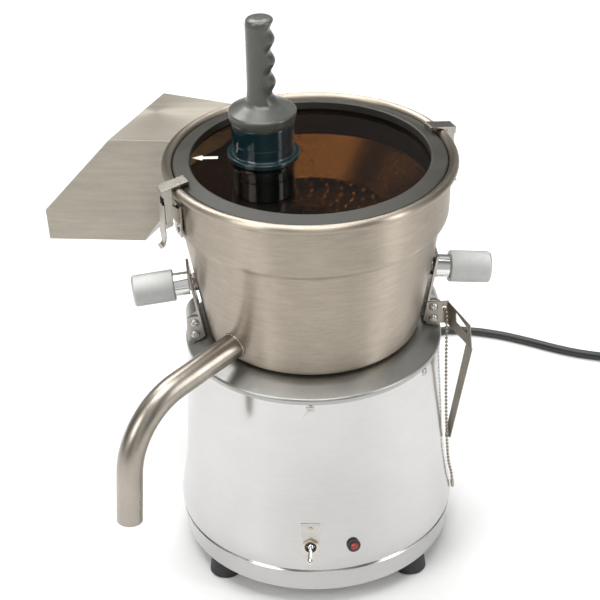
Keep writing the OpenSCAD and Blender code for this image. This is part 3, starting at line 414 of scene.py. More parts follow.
# %% Handling marks
marks, given, result = new_group(
    "Handling marks", {"Patch": 14, "Speck": 220, "Contrast": 2.0}, ["Mask", "Dust"])
place = add(marks, "TexCoord").outputs["Object"]
cloud = add(marks, "TexNoise", {
    "Vector": place, "Scale": given["Patch"], "Detail": 6.0, "Roughness": 0.6,
    "Distortion": 0.6}).outputs[0]
speck = add(marks, "TexNoise", {
    "Vector": place, "Scale": given["Speck"], "Detail": 4.0}).outputs[0]
spread = sums(marks, "MULTIPLY", sums(marks, "SUBTRACT", cloud, 0.5), given["Contrast"])
mask = sums(marks, "ADD", sums(marks, "ADD", spread, 0.5),
            sums(marks, "MULTIPLY", sums(marks, "SUBTRACT", speck, 0.5), 0.35))
marks.links.new(add(marks, "Clamp", {0: mask}).outputs[0], result.inputs["Mask"])
up = add(marks, "SeparateXYZ", {0: add(marks, "NewGeometry").outputs["Normal"]}).outputs[2]
level = sums(marks, "MULTIPLY", sums(marks, "SUBTRACT", up, 0.3), 1.4)
lying = add(marks, "Clamp", {0: level}).outputs[0]
marks.links.new(sums(marks, "MULTIPLY", lying, add(marks, "Clamp", {0: mask}).outputs[0]),
                result.inputs["Dust"])
print("group:", marks.name)

# %% [markdown]
# ## Worn edges and painted edge highlights
# Corners are painted brighter on metal and paler on plastic, partly as rubbed wear
# and partly as a painted highlight. A Bevel node gives the normal that the surface
# would have with round edges. Where it disagrees with the true normal there is an
# edge, and noise breaks the line up.

# %% Worn edges and painted edge highlights
edge_wear_and_highlight, given, result = new_group("Worn and highlit edges", {"Width": 0.0008, "Breakup": 160}, ["Mask"])
soft = add(edge_wear_and_highlight, "Bevel", {"Radius": given["Width"]}, samples=4).outputs[0]
hard = add(edge_wear_and_highlight, "NewGeometry").outputs["Normal"]
agree = add(edge_wear_and_highlight, "VectorMath", {0: soft, 1: hard}, operation="DOT_PRODUCT").outputs["Value"]
place = add(edge_wear_and_highlight, "TexCoord").outputs["Object"]
patchy = add(edge_wear_and_highlight, "TexNoise", {
    "Vector": place, "Scale": given["Breakup"], "Detail": 3.0}).outputs[0]
# This edge mask paints a brighter colour along every edge: rubbed wear and a painted highlight.
edge = sums(edge_wear_and_highlight, "MULTIPLY", sums(edge_wear_and_highlight, "SUBTRACT", 1.0, agree), 5.0)
broken = sums(edge_wear_and_highlight, "MULTIPLY", edge, sums(edge_wear_and_highlight, "ADD", patchy, 0.35))
edge_wear_and_highlight.links.new(add(edge_wear_and_highlight, "Clamp", {0: broken}).outputs[0], result.inputs["Mask"])
print("group:", edge_wear_and_highlight.name)

# %% [markdown]
# ## Moulded skin
# Rubber and moulded plastic carry the texture of the tool: tiny cells with a
# slight waviness under them. Sand-cast metal uses the same group, only coarser.

# %% Moulded skin
skin, given, result = new_group("Moulded skin", {"Cells": 1600, "Waves": 60}, ["Height"])
place = add(skin, "TexCoord").outputs["Object"]
cells = add(skin, "TexVoronoi", {"Vector": place, "Scale": given["Cells"]},
            feature="SMOOTH_F1").outputs[0]
waves = add(skin, "TexNoise", {
    "Vector": place, "Scale": given["Waves"], "Detail": 2.0}).outputs[0]
skin.links.new(sums(skin, "ADD", cells, waves), result.inputs["Height"])
print("group:", skin.name)

# %% [markdown]
# ## Finishes
# Each finish is its own material with a Principled BSDF. What changes from one to
# the next is data: two colours that the marks mix, a range of roughness, which
# grain it has and how strong, and how bright its edges are painted, as wear and as
# a painted highlight. Values that are the same all over, such as anisotropy or
# coat, are set on the shader's own socket.

# %% Finishes
GRAINS = {"spun": spun_grain, "drawn": drawn_grain, "skin": skin}


def finish(name, colour, shade, rough, metal=0.0, grain=None, bump=0.2, depth=0.05,
           streak=0.0, edge=None, edge_width=0.8, dust=None, dust_amount=0.0,
           tangent=None, mark=None, **shader):
    """A material; depth and edge_width are in millimetres, rough is its least and most."""
    made = bpy.data.materials.new(name)
    made.use_nodes = True
    tree = made.node_tree
    surface = tree.nodes["Principled BSDF"]
    for socket, value in shader.items():
        surface.inputs[socket.replace("_", " ")].default_value = value
    surface.inputs["Metallic"].default_value = metal
    handled = add(tree, "Group", node_tree=marks)
    for socket, value in (mark or {}).items():
        handled.inputs[socket].default_value = value
    tone = add(tree, "Mix", {
        0: handled.outputs["Mask"], 6: (*colour, 1), 7: (*shade, 1)},
        data_type="RGBA").outputs[2]
    roughness = add(tree, "MapRange", {
        0: handled.outputs["Mask"], 3: rough[0], 4: rough[1]}).outputs[0]
    if grain:
        kind, values = grain
        texture = add(tree, "Group", node_tree=GRAINS[kind])
        for socket, value in values.items():
            texture.inputs[socket].default_value = value
        normal = add(tree, "Bump", {"Strength": bump, "Distance": depth * MM,
                                    "Height": texture.outputs["Height"]})
        tree.links.new(normal.outputs[0], surface.inputs["Normal"])
        if streak:
            band = add(tree, "MapRange", {
                0: texture.outputs["Streak"], 1: 0.3, 2: 0.7, 3: 1 - streak, 4: 1.0})
            tone = add(tree, "Mix", {0: 1.0, 6: tone, 7: band.outputs[0]},
                       data_type="RGBA", blend_type="MULTIPLY").outputs[2]
            scratch = sums(tree, "SUBTRACT", texture.outputs["Height"], 0.5)
            roughness = sums(tree, "MULTIPLY_ADD", scratch, 0.25 * streak, roughness)
    # The edge colour goes where the edge mask is: rubbed wear and a painted highlight.
    if edge:
        rubbed_and_highlit = add(tree, "Group", {"Width": edge_width * MM}, node_tree=edge_wear_and_highlight)
        tone = add(tree, "Mix", {0: rubbed_and_highlit.outputs["Mask"], 6: tone, 7: (*edge, 1)},
                   data_type="RGBA").outputs[2]
    if dust:
        fall = sums(tree, "MULTIPLY", handled.outputs["Dust"], dust_amount)
        tone = add(tree, "Mix", {0: fall, 6: tone, 7: (*dust, 1)},
                   data_type="RGBA").outputs[2]
        roughness = sums(tree, "MULTIPLY_ADD", fall, 0.3, roughness)
    tree.links.new(tone, surface.inputs["Base Color"])
    tree.links.new(roughness, surface.inputs["Roughness"])
    if tangent:
        ring = add(tree, "Tangent", direction_type="RADIAL", axis=tangent)
        tree.links.new(ring.outputs[0], surface.inputs["Tangent"])
    return made


print("grains to choose from:", ", ".join(GRAINS))

# %% [markdown]
# ## Steel and cast metal
# The large parts are four metals. The lower body is polished almost to a mirror
# and the casting above it is satin. Bowl and chute are warmer stainless steel:
# the bowl is spun, so its gloss is stretched upwards, and the sheet is brushed.

# %% Steel and cast metal
body_metal = finish(
    "polished_body", (0.615, 0.61, 0.60), (0.54, 0.535, 0.525), (0.13, 0.21), metal=1.0,
    grain=("spun", {"Lines": 2600, "Length": 5}), bump=0.05, depth=0.02, streak=0.05,
    edge=(0.9, 0.9, 0.9), tangent="Z", mark={"Patch": 9, "Contrast": 1.4}, Anisotropic=0.35)
cast_metal = finish(
    "satin_casting", (0.43, 0.43, 0.41), (0.35, 0.35, 0.335), (0.3, 0.42), metal=1.0,
    grain=("skin", {"Cells": 900, "Waves": 45}), bump=0.25, depth=0.08, edge=(0.7, 0.7, 0.68),
    dust=(0.3, 0.28, 0.25), dust_amount=0.3)
bowl_steel = finish(
    "spun_stainless", (0.48, 0.42, 0.35), (0.40, 0.35, 0.285), (0.33, 0.41), metal=1.0,
    grain=("spun", {"Lines": 2200, "Length": 7}), bump=0.16, depth=0.03, streak=0.16,
    edge=(0.75, 0.70, 0.63), tangent="Z", mark={"Patch": 11, "Contrast": 1.2},
    Anisotropic=0.9, Anisotropic_Rotation=0.25)
spout_steel = finish(
    "polished_tube", (0.43, 0.39, 0.34), (0.35, 0.315, 0.27), (0.26, 0.36), metal=1.0,
    grain=("drawn", {"Along": 500, "Across": 500, "Upright": 60}), bump=0.12, depth=0.03,
    streak=0.14, edge=(0.7, 0.66, 0.6), edge_width=0.5)
chute_steel = finish(
    "brushed_sheet", (0.44, 0.405, 0.345), (0.37, 0.34, 0.29), (0.42, 0.52), metal=1.0,
    grain=("drawn", {"Along": 22, "Across": 1700, "Upright": 1700}), bump=0.16, depth=0.03,
    streak=0.14, edge=(0.8, 0.77, 0.72), mark={"Patch": 12, "Contrast": 1.3},
    Anisotropic=0.4)
print("large metals:", body_metal.name, cast_metal.name, bowl_steel.name, chute_steel.name)

# %% [markdown]
# ## Small fittings
# Brackets, latches, straps and screws are cut from thin stock and touched all the
# time, so their bright edge colour is narrow: rubbed wear, and a painted highlight.
# Knobs are a paler alloy, and the plug's pins and the switch's nut bring in the only
# yellow metals outside.

# %% Small fittings
bracket_steel = finish(
    "satin_bracket", (0.46, 0.435, 0.40), (0.38, 0.36, 0.33), (0.22, 0.34), metal=1.0,
    grain=("drawn", {"Along": 1500, "Across": 1500, "Upright": 40}), bump=0.12, depth=0.03,
    streak=0.12, edge=(0.8, 0.78, 0.75), edge_width=0.35)
latch_steel = finish(
    "latch_steel", (0.44, 0.41, 0.36), (0.35, 0.325, 0.28), (0.2, 0.32), metal=1.0,
    grain=("drawn", {"Along": 900, "Across": 900, "Upright": 60}), bump=0.1, depth=0.03,
    streak=0.1, edge=(0.8, 0.77, 0.72), edge_width=0.25)
knob_metal = finish(
    "knurled_alloy", (0.60, 0.605, 0.595), (0.50, 0.505, 0.495), (0.46, 0.58), metal=1.0,
    grain=("skin", {"Cells": 2400, "Waves": 120}), bump=0.15, depth=0.03, edge=(0.85, 0.85, 0.84),
    edge_width=0.4)
chrome = finish(
    "bright_plate", (0.78, 0.78, 0.77), (0.66, 0.66, 0.65), (0.08, 0.16), metal=1.0,
    grain=("skin", {"Cells": 700, "Waves": 90}), bump=0.05, depth=0.02, edge=(0.9, 0.9, 0.9))
screw_steel = finish(
    "screw_steel", (0.62, 0.61, 0.59), (0.45, 0.44, 0.42), (0.2, 0.36), metal=1.0,
    grain=("skin", {"Cells": 1500, "Waves": 200}), bump=0.12, depth=0.03, edge=(0.85, 0.84, 0.82),
    edge_width=0.3)
strap_steel = finish(
    "aged_strap", (0.36, 0.325, 0.28), (0.26, 0.235, 0.20), (0.26, 0.4), metal=1.0,
    grain=("drawn", {"Along": 1200, "Across": 1200, "Upright": 50}), bump=0.16, depth=0.03,
    streak=0.2, edge=(0.75, 0.71, 0.66), edge_width=0.5)
chain_steel = finish(
    "bead_metal", (0.46, 0.41, 0.345), (0.30, 0.265, 0.22), (0.18, 0.34), metal=1.0,
    grain=("skin", {"Cells": 1500, "Waves": 300}), bump=0.1, depth=0.02)
brass = finish(
    "dull_brass", (0.66, 0.52, 0.27), (0.50, 0.38, 0.20), (0.22, 0.4), metal=1.0,
    grain=("skin", {"Cells": 1200, "Waves": 150}), bump=0.1, depth=0.02, edge=(0.85, 0.72, 0.45))
nickel = finish(
    "nickel_nut", (0.68, 0.62, 0.50), (0.52, 0.47, 0.38), (0.18, 0.32), metal=1.0,
    grain=("spun", {"Lines": 2500}), bump=0.1, depth=0.02, edge=(0.88, 0.84, 0.74))
plate_steel = finish(
    "switch_plate_steel", (0.66, 0.64, 0.61), (0.57, 0.55, 0.52), (0.24, 0.36), metal=1.0,
    grain=("drawn", {"Along": 60, "Across": 1600, "Upright": 1600}), bump=0.12, depth=0.02,
    streak=0.12, edge=(0.85, 0.84, 0.82))
print("fittings:", knob_metal.name, chrome.name, screw_steel.name, brass.name)

# %% [markdown]
# ## Inside the machine
# The motor is hidden, but the model can be opened up, so it gets honest finishes:
# ground steel for what turns, dusty enamel on the case, lacquered copper windings.

# %% Inside the machine
rotor_metal = finish(
    "rotor_steel", (0.50, 0.46, 0.41), (0.40, 0.36, 0.31), (0.2, 0.34), metal=1.0,
    grain=("spun", {"Lines": 1400}), bump=0.15, depth=0.04, streak=0.2, edge=(0.75, 0.71, 0.65))
motor_paint = finish(
    "motor_enamel", (0.075, 0.085, 0.095), (0.05, 0.055, 0.06), (0.35, 0.5),
    grain=("skin", {"Cells": 500, "Waves": 40}), bump=0.3, depth=0.1, edge=(0.3, 0.3, 0.3),
    dust=(0.25, 0.23, 0.2), dust_amount=0.5)
copper = finish(
    "lacquered_copper", (0.52, 0.20, 0.08), (0.38, 0.13, 0.05), (0.28, 0.42), metal=1.0,
    grain=("spun", {"Lines": 900, "Length": 2}), bump=0.6, depth=0.25, streak=0.4)
print("inside:", rotor_metal.name, motor_paint.name, copper.name)

# %% [markdown]
# ## Rubber and plastic
# Nothing dark is pure black. Rubber is rougher and dustier than plastic, the cord
# has a green cast, and the handle's grey plastic has a thin glossy coat from its
# mould. All of them are painted paler at the edges, as wear and as a painted
# highlight, except the cord and the arrow.

# %% Rubber and plastic
black_rubber = finish(
    "black_rubber", (0.016, 0.016, 0.017), (0.03, 0.03, 0.03), (0.5, 0.68),
    grain=("skin", {"Cells": 1300, "Waves": 60}), bump=0.3, depth=0.06, edge=(0.07, 0.07, 0.07),
    dust=(0.16, 0.15, 0.14), dust_amount=0.35)
cord_rubber = finish(
    "cord_rubber", (0.012, 0.016, 0.013), (0.022, 0.028, 0.023), (0.3, 0.44),
    grain=("skin", {"Cells": 1100, "Waves": 90}), bump=0.14, depth=0.05,
    dust=(0.12, 0.12, 0.11), dust_amount=0.25)
black_plastic = finish(
    "black_plastic", (0.018, 0.018, 0.02), (0.03, 0.03, 0.032), (0.32, 0.46),
    grain=("skin", {"Cells": 1700, "Waves": 80}), bump=0.16, depth=0.04, edge=(0.08, 0.08, 0.08))
red_plastic = finish(
    "red_button", (0.32, 0.012, 0.012), (0.22, 0.008, 0.01), (0.16, 0.3),
    grain=("skin", {"Cells": 1400, "Waves": 120}), bump=0.06, depth=0.03, edge=(0.5, 0.08, 0.07),
    Coat_Weight=0.3, Coat_Roughness=0.1)
grey_plastic = finish(
    "moulded_grey", (0.058, 0.062, 0.052), (0.078, 0.082, 0.07), (0.22, 0.34),
    grain=("skin", {"Cells": 1200, "Waves": 55}), bump=0.1, depth=0.06, edge=(0.16, 0.165, 0.15),
    dust=(0.36, 0.36, 0.34), dust_amount=0.1, Coat_Weight=0.25, Coat_Roughness=0.2)
dark_plastic = finish(
    "pusher_plastic", (0.012, 0.022, 0.024), (0.02, 0.034, 0.036), (0.2, 0.34),
    grain=("skin", {"Cells": 900, "Waves": 60}), bump=0.08, depth=0.05, edge=(0.09, 0.12, 0.12))
# The seal's paler edge colour is partly wear and partly a painted highlight on its lip.
seal_rubber = finish(
    "lid_seal_rubber", (0.026, 0.025, 0.02), (0.046, 0.044, 0.036), (0.36, 0.5),
    grain=("skin", {"Cells": 1300, "Waves": 70}), bump=0.16, depth=0.05, edge=(0.12, 0.115, 0.1),
    dust=(0.3, 0.29, 0.26), dust_amount=0.05, Specular_IOR_Level=0.3)
arrow_paint = finish(
    "cream_arrow", (0.86, 0.82, 0.72), (0.74, 0.70, 0.61), (0.4, 0.55),
    grain=("skin", {"Cells": 2200, "Waves": 200}), bump=0.2, depth=0.03)
print("finishes so far:", len(bpy.data.materials))

# %% [markdown]
# ## Clear plastics
# The lid is a thick smoked sheet and the feed tube a deep teal moulding. Both let
# light through, so they are Principled glass with the refractive index of acrylic
# and a tint in the base colour. Wiping marks only change their gloss and tint.

# %% Clear plastics
smoked_clear = finish(
    "smoked_sheet", (0.33, 0.205, 0.10), (0.28, 0.17, 0.08), (0.012, 0.05),
    grain=("skin", {"Cells": 300, "Waves": 30}), bump=0.02, depth=0.02,
    mark={"Patch": 10, "Contrast": 1.5}, Transmission_Weight=1.0, IOR=1.49)
# The tube's pale edge colour paints a highlight along its rims and corners, besides wear.
teal_clear = finish(
    "teal_moulding", (0.010, 0.036, 0.044), (0.008, 0.028, 0.034), (0.06, 0.16),
    grain=("skin", {"Cells": 500, "Waves": 40}), bump=0.05, depth=0.04, edge=(0.2, 0.3, 0.32),
    edge_width=0.6, Transmission_Weight=0.35, IOR=1.5, Coat_Weight=0.4, Coat_Roughness=0.06)
print("clear:", smoked_clear.name, teal_clear.name)

# %% [markdown]
# ## Perforated sheet
# The strainer is punched with thousands of small holes. Cutting them would cost a
# million faces, and they are seen through a dark lid, so a regular Voronoi makes
# the mask: round each cell centre the sheet is cut away through its alpha.

# %% Perforated sheet
holes, given, result = new_group("Punched holes", {"Pitch": 420, "Size": 0.3}, ["Sheet"])
grid = add(holes, "TexVoronoi", {"Vector": add(holes, "TexCoord").outputs["Object"],
                                 "Scale": given["Pitch"], "Randomness": 0.0}).outputs[0]
holes.links.new(sums(holes, "GREATER_THAN", grid, given["Size"]), result.inputs["Sheet"])
strainer_steel = finish(
    "strainer_steel", (0.56, 0.51, 0.45), (0.44, 0.40, 0.34), (0.2, 0.32), metal=1.0,
    grain=("spun", {"Lines": 1500}), bump=0.12, depth=0.03, streak=0.15)
graph = strainer_steel.node_tree
punched = add(graph, "Group", node_tree=holes)
graph.links.new(punched.outputs["Sheet"], graph.nodes["Principled BSDF"].inputs["Alpha"])
print("group:", holes.name)

# %% [markdown]
# ## Which node wears what
# One table says which finish each CAD part wears. Of the parts that get a finer
# mesh further down only the juice spout is listed; each finer piece is dressed
# where it is made.

# %% Which node wears what
wears = {
    "feet": black_rubber, "foot_bolts": screw_steel, "base_plate": plate_steel,
    "base_ring": body_metal, "body_shell": body_metal, "top_casting": cast_metal,
    "motor_case": motor_paint, "stator": copper, "motor_bolts": screw_steel,
    "upper_bearing": chrome, "lower_bearing": chrome, "run_capacitor": black_plastic,
    "bearing_tower": cast_metal, "shaft_seal": black_rubber, "switch_plate": plate_steel,
    "switch_body": black_plastic, "switch_nut": nickel, "toggle_lever": chrome,
    "breaker_body": black_plastic, "breaker_button": red_plastic, "plug_pins": brass,
    "bowl": bowl_steel, "separator_ring": bowl_steel, "juice_spout": spout_steel,
    "pulp_chute": chute_steel, "bracket_left": bracket_steel, "bracket_right": bracket_steel,
    "lock_barrels": chrome, "latch_bases": latch_steel, "latch_rivets": screw_steel,
    "lever_left": latch_steel, "lever_right": latch_steel, "hook_left": latch_steel,
    "hook_right": latch_steel, "lid_plate": smoked_clear, "lid_arrow": arrow_paint,
    "pusher": dark_plastic, "motor_shaft": rotor_metal, "rotor_core": rotor_metal,
    "cooling_fan": black_plastic, "drive_hub": cast_metal, "strainer_basket": strainer_steel,
    "grater_disc": rotor_metal, "hub_nut": screw_steel, "tool_strap": strap_steel}


def dress(piece, material):
    piece.data.materials.clear()
    piece.data.materials.append(material)
    return piece


for node, material in wears.items():
    dress(nodes[node], material)
print("dressed", len(wears), "nodes")

# %% [markdown]
# ## Cord tie
# The coil is held by a short strap of hook tape, closed round both layers. It is
# a rounded loop in a plane through the coil's axis, with a real thickness: an
# outer and an inner outline, each drawn once at either edge of the strap.

# %% Cord tie
TIE_TURN, TIE_HALF = math.radians(285), 4.5
outer = rounded([(41.7, 0.05), (62.3, 0.05), (62.3, 19.9), (41.7, 19.9)], 5.5,
                closed=True, steps=7)
inner = rounded([(42.3, 0.6), (61.7, 0.6), (61.7, 19.35), (42.3, 19.35)], 5.0,
                closed=True, steps=7)


def tie_points(outline, side):
    for ring, height in outline:
        yield (COIL_CENTRE[0] + ring * math.cos(TIE_TURN) - side * math.sin(TIE_TURN),
               COIL_CENTRE[1] + ring * math.sin(TIE_TURN) + side * math.cos(TIE_TURN), height)


edges = ((outer, -TIE_HALF), (outer, TIE_HALF), (inner, TIE_HALF), (inner, -TIE_HALF))
points = [p for outline, side in edges for p in tie_points(outline, side)]
faces = ring_faces(len(edges), len(outer), closed=True)
tie = even_shading(piece_from("cord_tie", row_points(points), faces))
dress(tie, black_plastic)
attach(tie, "frame")
print("tie:", len(faces), "faces")

# %% [markdown]
# ## Plug
# The moulded plug is a loft: a list of stations along its length, each a soft
# square of its own width and height. Its neck is ribbed like the strain relief of
# a real plug, and a waist halfway along the body gives the fingers a hold.

# %% Plug
PLUG_X, PLUG_Y, PLUG_Z = 482, 140, 8.8


def soft_square(half_wide, half_high, power, steps=40):
    for k in range(steps):
        c, s = math.cos(2 * math.pi * k / steps), math.sin(2 * math.pi * k / steps)
        yield (half_wide * math.copysign(abs(c) ** (2 / power), c),
               half_high * math.copysign(abs(s) ** (2 / power), s))


def lofted(name, stations, at, steps=40):
    """Stations are (along, half wide, half high, power); at(along, side, up) is a point."""
    points = []
    for along, wide, high, power in stations:
        points += [at(along, u, v) for u, v in soft_square(wide, high, power, steps)]
    faces = ring_faces(len(stations), steps)
    last = (len(stations) - 1) * steps
    faces += [tuple(range(steps)), tuple(range(last, last + steps))]
    return piece_from(name, row_points(points), faces)


plug_stations = [(-30, 5.6, 5.6, 2), (-29.6, 6.3, 6.3, 2)]
for k in range(5):
    start, size = -28.5 + 2.9 * k, 6.5 + 0.36 * k
    neck = size - 0.9
    plug_stations += [(start, size, size, 2), (start + 1.1, size, size, 2),
                      (start + 1.35, neck, neck, 2), (start + 2.2, neck, neck, 2)]
plug_stations += [
    (-14, 8.6, 7.6, 2.2), (-12.6, 11.4, 8.1, 2.8), (-10, 12.7, 8.4, 3.6),
    (-6, 12.6, 8.4, 4.5), (-3, 11.6, 8.1, 4.5), (0, 11.5, 8.1, 4.5), (3, 12.6, 8.4, 5),
    (6, 12.9, 8.45, 6), (10.8, 12.9, 8.45, 6), (11.7, 12.5, 8.1, 6), (12, 11.6, 7.4, 5)]
plug = lofted("moulded_plug", plug_stations,
              lambda along, side, up: (PLUG_X + side, PLUG_Y - along, PLUG_Z + up))
even_shading(dress(plug, cord_rubber))
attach(plug, "frame")
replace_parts(plug, "plug_body")
print("plug:", len(plug.data.polygons), "faces")

dress(cord, cord_rubber)
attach(cord, "frame")
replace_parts(cord, "power_cord", "cord_coil")
print("cord declared,", round(cord_length, 3), "m")

# %% [markdown]
# ## Strain relief
# Where the cord leaves the base a tapered sleeve keeps it from kinking. Its ribs
# let it bend, so the profile steps in and out while it narrows. It lies along the
# cord's exit, which looks outwards from the axis at EXIT_TURN degrees.

# %% Strain relief
EXIT_TURN, EXIT_R, EXIT_Z, RIBS = 80, 141.2, 31, 7
sleeve = [(4.78, -12), (7.6, -12), (7.6, 0.2), (9, 0.2, 0.6), (9, 3, 1.0), (8.1, 4.6)]
for k in range(RIBS):
    start, size = 5.5 + 4.1 * k, 7.9 - 0.24 * k
    sleeve += [(size, start, 0.3), (size, start + 2.3, 0.3), (size - 1.2, start + 2.7, 0.2),
               (size - 1.2, start + 3.9, 0.2)]
sleeve += [(6.1, 34.6), (6.0, 36, 0.8), (4.78, 36)]
gland_place = about_axis(EXIT_TURN, EXIT_R, 0, EXIT_Z) @ ACROSS
gland_profile = rounded(sleeve, 0.2, closed=True, steps=2)
gland = even_shading(spun("strain_relief", gland_profile, 48, True, gland_place))
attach(dress(gland, black_rubber), "frame")
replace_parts(gland, "cord_gland")
print("strain relief:", len(gland.data.polygons), "faces")

# %% [markdown]
# ## Bead chain
# The strap's chain is made of hollow balls on short wires. Each ball is a small
# sphere and each wire a thin rod between two of them, joined into one mesh that
# follows the route of the CAD tube.

# %% Bead chain
BALL_R, WIRE_R, PITCH = 1.7, 0.45, 4.5
chain_route = smooth_route(row_points([
    (132.4, -6.9, 271), (133.6, -9, 270.5), (134.6, -10, 266), (135, -10, 250),
    (135.2, -10.2, 220), (135.6, -10.6, 190), (136.2, -11, 160), (137, -12, 135),
    (138.2, -12.6, 110), (140.2, -12.4, 85), (143.6, -11, 68), (145, -10.6, 54)]), per=8)


def along(route, step):
    """Points at even distances along a route, with its direction there."""
    spare, found = 0.0, []
    for a, b in zip(route, route[1:]):
        size = (b - a).length
        while spare <= size:
            found.append((a.lerp(b, spare / size), (b - a).normalized()))
            spare += step
        spare -= size
    return found


def beads(name, stops, ball_r, wire_r, gap):
    made = bmesh.new()
    for place, way in stops:
        bmesh.ops.create_uvsphere(made, u_segments=14, v_segments=9, radius=ball_r * MM,
                                  matrix=facing(place, way))
    for (a, _), (b, _) in zip(stops, stops[1:]):
        bmesh.ops.create_cone(made, cap_ends=True, segments=8, radius1=wire_r * MM,
                              radius2=wire_r * MM, depth=gap * MM,
                              matrix=facing((a + b) / 2, b - a))
    mesh = bpy.data.meshes.new(name)
    made.to_mesh(mesh)
    made.free()
    mesh.shade_smooth()
    return shown(name, mesh)


stops = along(chain_route, PITCH * MM)
chain = beads("ball_chain", stops, BALL_R, WIRE_R, PITCH - 1.5 * BALL_R)
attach(dress(chain, chain_steel), "frame")
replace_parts(chain, "bead_chain")
print("chain:", len(stops), "balls")

# %% [markdown]
# ## Chain clasp
# The last ball sits in a small turned clasp. The chain's real length is the
# length of the route that its balls are strung on.

# %% Chain clasp
clasp_profile = rounded([
    (0, -5.5), (1.5, -5.5, 0.5), (1.5, -3.6, 0.4), (1.95, -3, 0.4), (1.95, 2.6, 0.4),
    (1.5, 3.2, 0.4), (1.5, 5, 0.6), (0, 5)], 0.2)
clasp_place = facing(chain_route[-1], chain_route[-1] - chain_route[-2])
clasp = spun("chain_clasp", clasp_profile, 24, False, clasp_place)
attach(even_shading(dress(clasp, chain_steel)), "frame")
round(route_length(chain_route), 4)
print("chain declared,", round(route_length(chain_route), 3), "m")

# %% [markdown]
# ## Pull knobs
# A knurl is two sets of fine grooves that cross, pressed in by wheels. The barrel
# of the knob is a fine grid whose radius drops where either set runs. The skirt,
# the pin that enters the bowl and the chamfers come from the same profile.

# %% Pull knobs
KNOB_R, KNURL_DEPTH, KNURL_COUNT = 15.9, 0.55, 42
KNURL_LOW, KNURL_LONG, KNURL_STEPS = 19.6, 38.6, 92
LOCK_R, LOCK_Z, TILT = 119.7, 311, math.radians(96)


def knob_profile():
    plain = rounded([(0, -2.4), (4, -2.4, 0.8), (4, 25.5), (12.05, 25.5), (12.05, 18.5, 0.4),
                     (15.2, 18.5, 0.4), (15.5, 19.1)], 0.3, steps=3)
    grip = [Vector((KNOB_R, KNURL_LOW + KNURL_LONG * k / KNURL_STEPS))
            for k in range(KNURL_STEPS + 1)]
    end = rounded([(15.5, 58.6), (14.6, 60, 0.9), (6, 60), (0, 60)], 0.3, steps=4)
    return plain, grip, end


def knurled_knob(name, turn, steps=224):
    plain, grip, end = knob_profile()
    profile, points, faces = plain + grip + end, [], []
    first, last = len(plain), len(plain) + len(grip) - 1
    pitch = 2 * math.pi * KNOB_R / KNURL_COUNT
    place = about_axis(turn, LOCK_R, 0, LOCK_Z) @ Matrix.Rotation(TILT, 4, "Y")
    for k in range(steps):
        angle = 2 * math.pi * k / steps
        for i, (ring, height) in enumerate(profile):
            if first <= i <= last:
                one = abs(((KNURL_COUNT * k / steps + height / pitch) % 1) * 2 - 1)
                two = abs(((KNURL_COUNT * k / steps - height / pitch) % 1) * 2 - 1)
                ring -= KNURL_DEPTH * (1 - min(1.0, 2.2 * min(one, two)))
            spot = Vector((ring * math.cos(angle), ring * math.sin(angle), height))
            points.append(place @ (spot * MM))
    count = len(profile)
    for k in range(steps):
        m = (k + 1) % steps
        faces += [(k * count + i, m * count + i, m * count + i + 1, k * count + i + 1)
                  for i in range(count - 1)]
    return piece_from(name, points, faces)


for name, body, turn in (("knob_left", "knob_l", 185.5), ("knob_right", "knob_r", 5.5)):
    knob = knurled_knob("knurled_" + name, turn)
    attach(even_shading(dress(knob, knob_metal), 50), body)
    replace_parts(knob, name)
print("knobs:", len(knob.data.polygons), "faces each")

# %% [markdown]
# ## Screws
# A round head with a cross in it. The head is a polar grid; points that fall in
# the cross are sunk, and the ring count is high enough for its walls to read. The
# last two rings are the head's rim and a short wall below it.

# %% Screw helpers
SUNK = 1.2


def screw_head(place, head_r, rise, cross=0.55, steps=48, rings=14):
    points, reach = [place @ Vector((0, 0, (rise - SUNK) * MM))], 0.58 * head_r
    for r in range(1, rings + 1):
        ring = head_r * min(1.0, r / (rings - 2))
        for k in range(steps):
            angle = 2 * math.pi * (k + 0.5) / steps
            x, y = ring * math.cos(angle), ring * math.sin(angle)
            if r < rings - 1:
                height = rise * (1 - (ring / head_r) ** 2.4) ** 0.6
            else:
                height = 0 if r < rings else -0.3
            if (abs(x) < cross and abs(y) < reach) or (abs(y) < cross and abs(x) < reach):
                height -= SUNK * (1 - 0.5 * ring / reach)
            points.append(place @ (Vector((x, y, height)) * MM))
    faces = [(0, 1 + k, 1 + (k + 1) % steps) for k in range(steps)]
    for r in range(rings - 1):
        near, far = 1 + r * steps, 1 + (r + 1) * steps
        faces += [(near + k, far + k, far + (k + 1) % steps, near + (k + 1) % steps)
                  for k in range(steps)]
    faces.append(tuple(1 + (rings - 1) * steps + k for k in range(steps)))
    return points, faces


def screws(name, places, head_r, rise):
    points, faces = [], []
    for place in places:
        new_points, new_faces = screw_head(place, head_r, rise)
        faces += [tuple(i + len(points) for i in face) for face in new_faces]
        points += new_points
    piece = even_shading(piece_from(name, points, faces), 35)
    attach(dress(piece, screw_steel), "frame")
    return piece


print("screw helpers ready")

# %% [markdown]
# ## Screws in place
# Six screws hold the body to the casting, evenly round it. Two more go into each
# bracket from its side, so those look along the bracket's own Y axis.

# %% Screws in place
body_places = [about_axis(268 + 60 * k, 129.0, 0, 236) @ ACROSS for k in range(6)]
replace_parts(screws("body_screw_heads", body_places, 4.3, 1.5), "body_screws")
bracket_places = [about_axis(turn, 120.5, side, z) @ Matrix.Rotation(math.radians(tip), 4, "X")
                  for turn, side, tip in ((185.5, 16.5, -90), (5.5, -17.7, 90))
                  for z in (259.5, 273)]
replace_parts(screws("bracket_screw_heads", bracket_places, 4.6, 2.9), "bracket_screws")
print("screws:", len(body_places) + len(bracket_places), "heads")

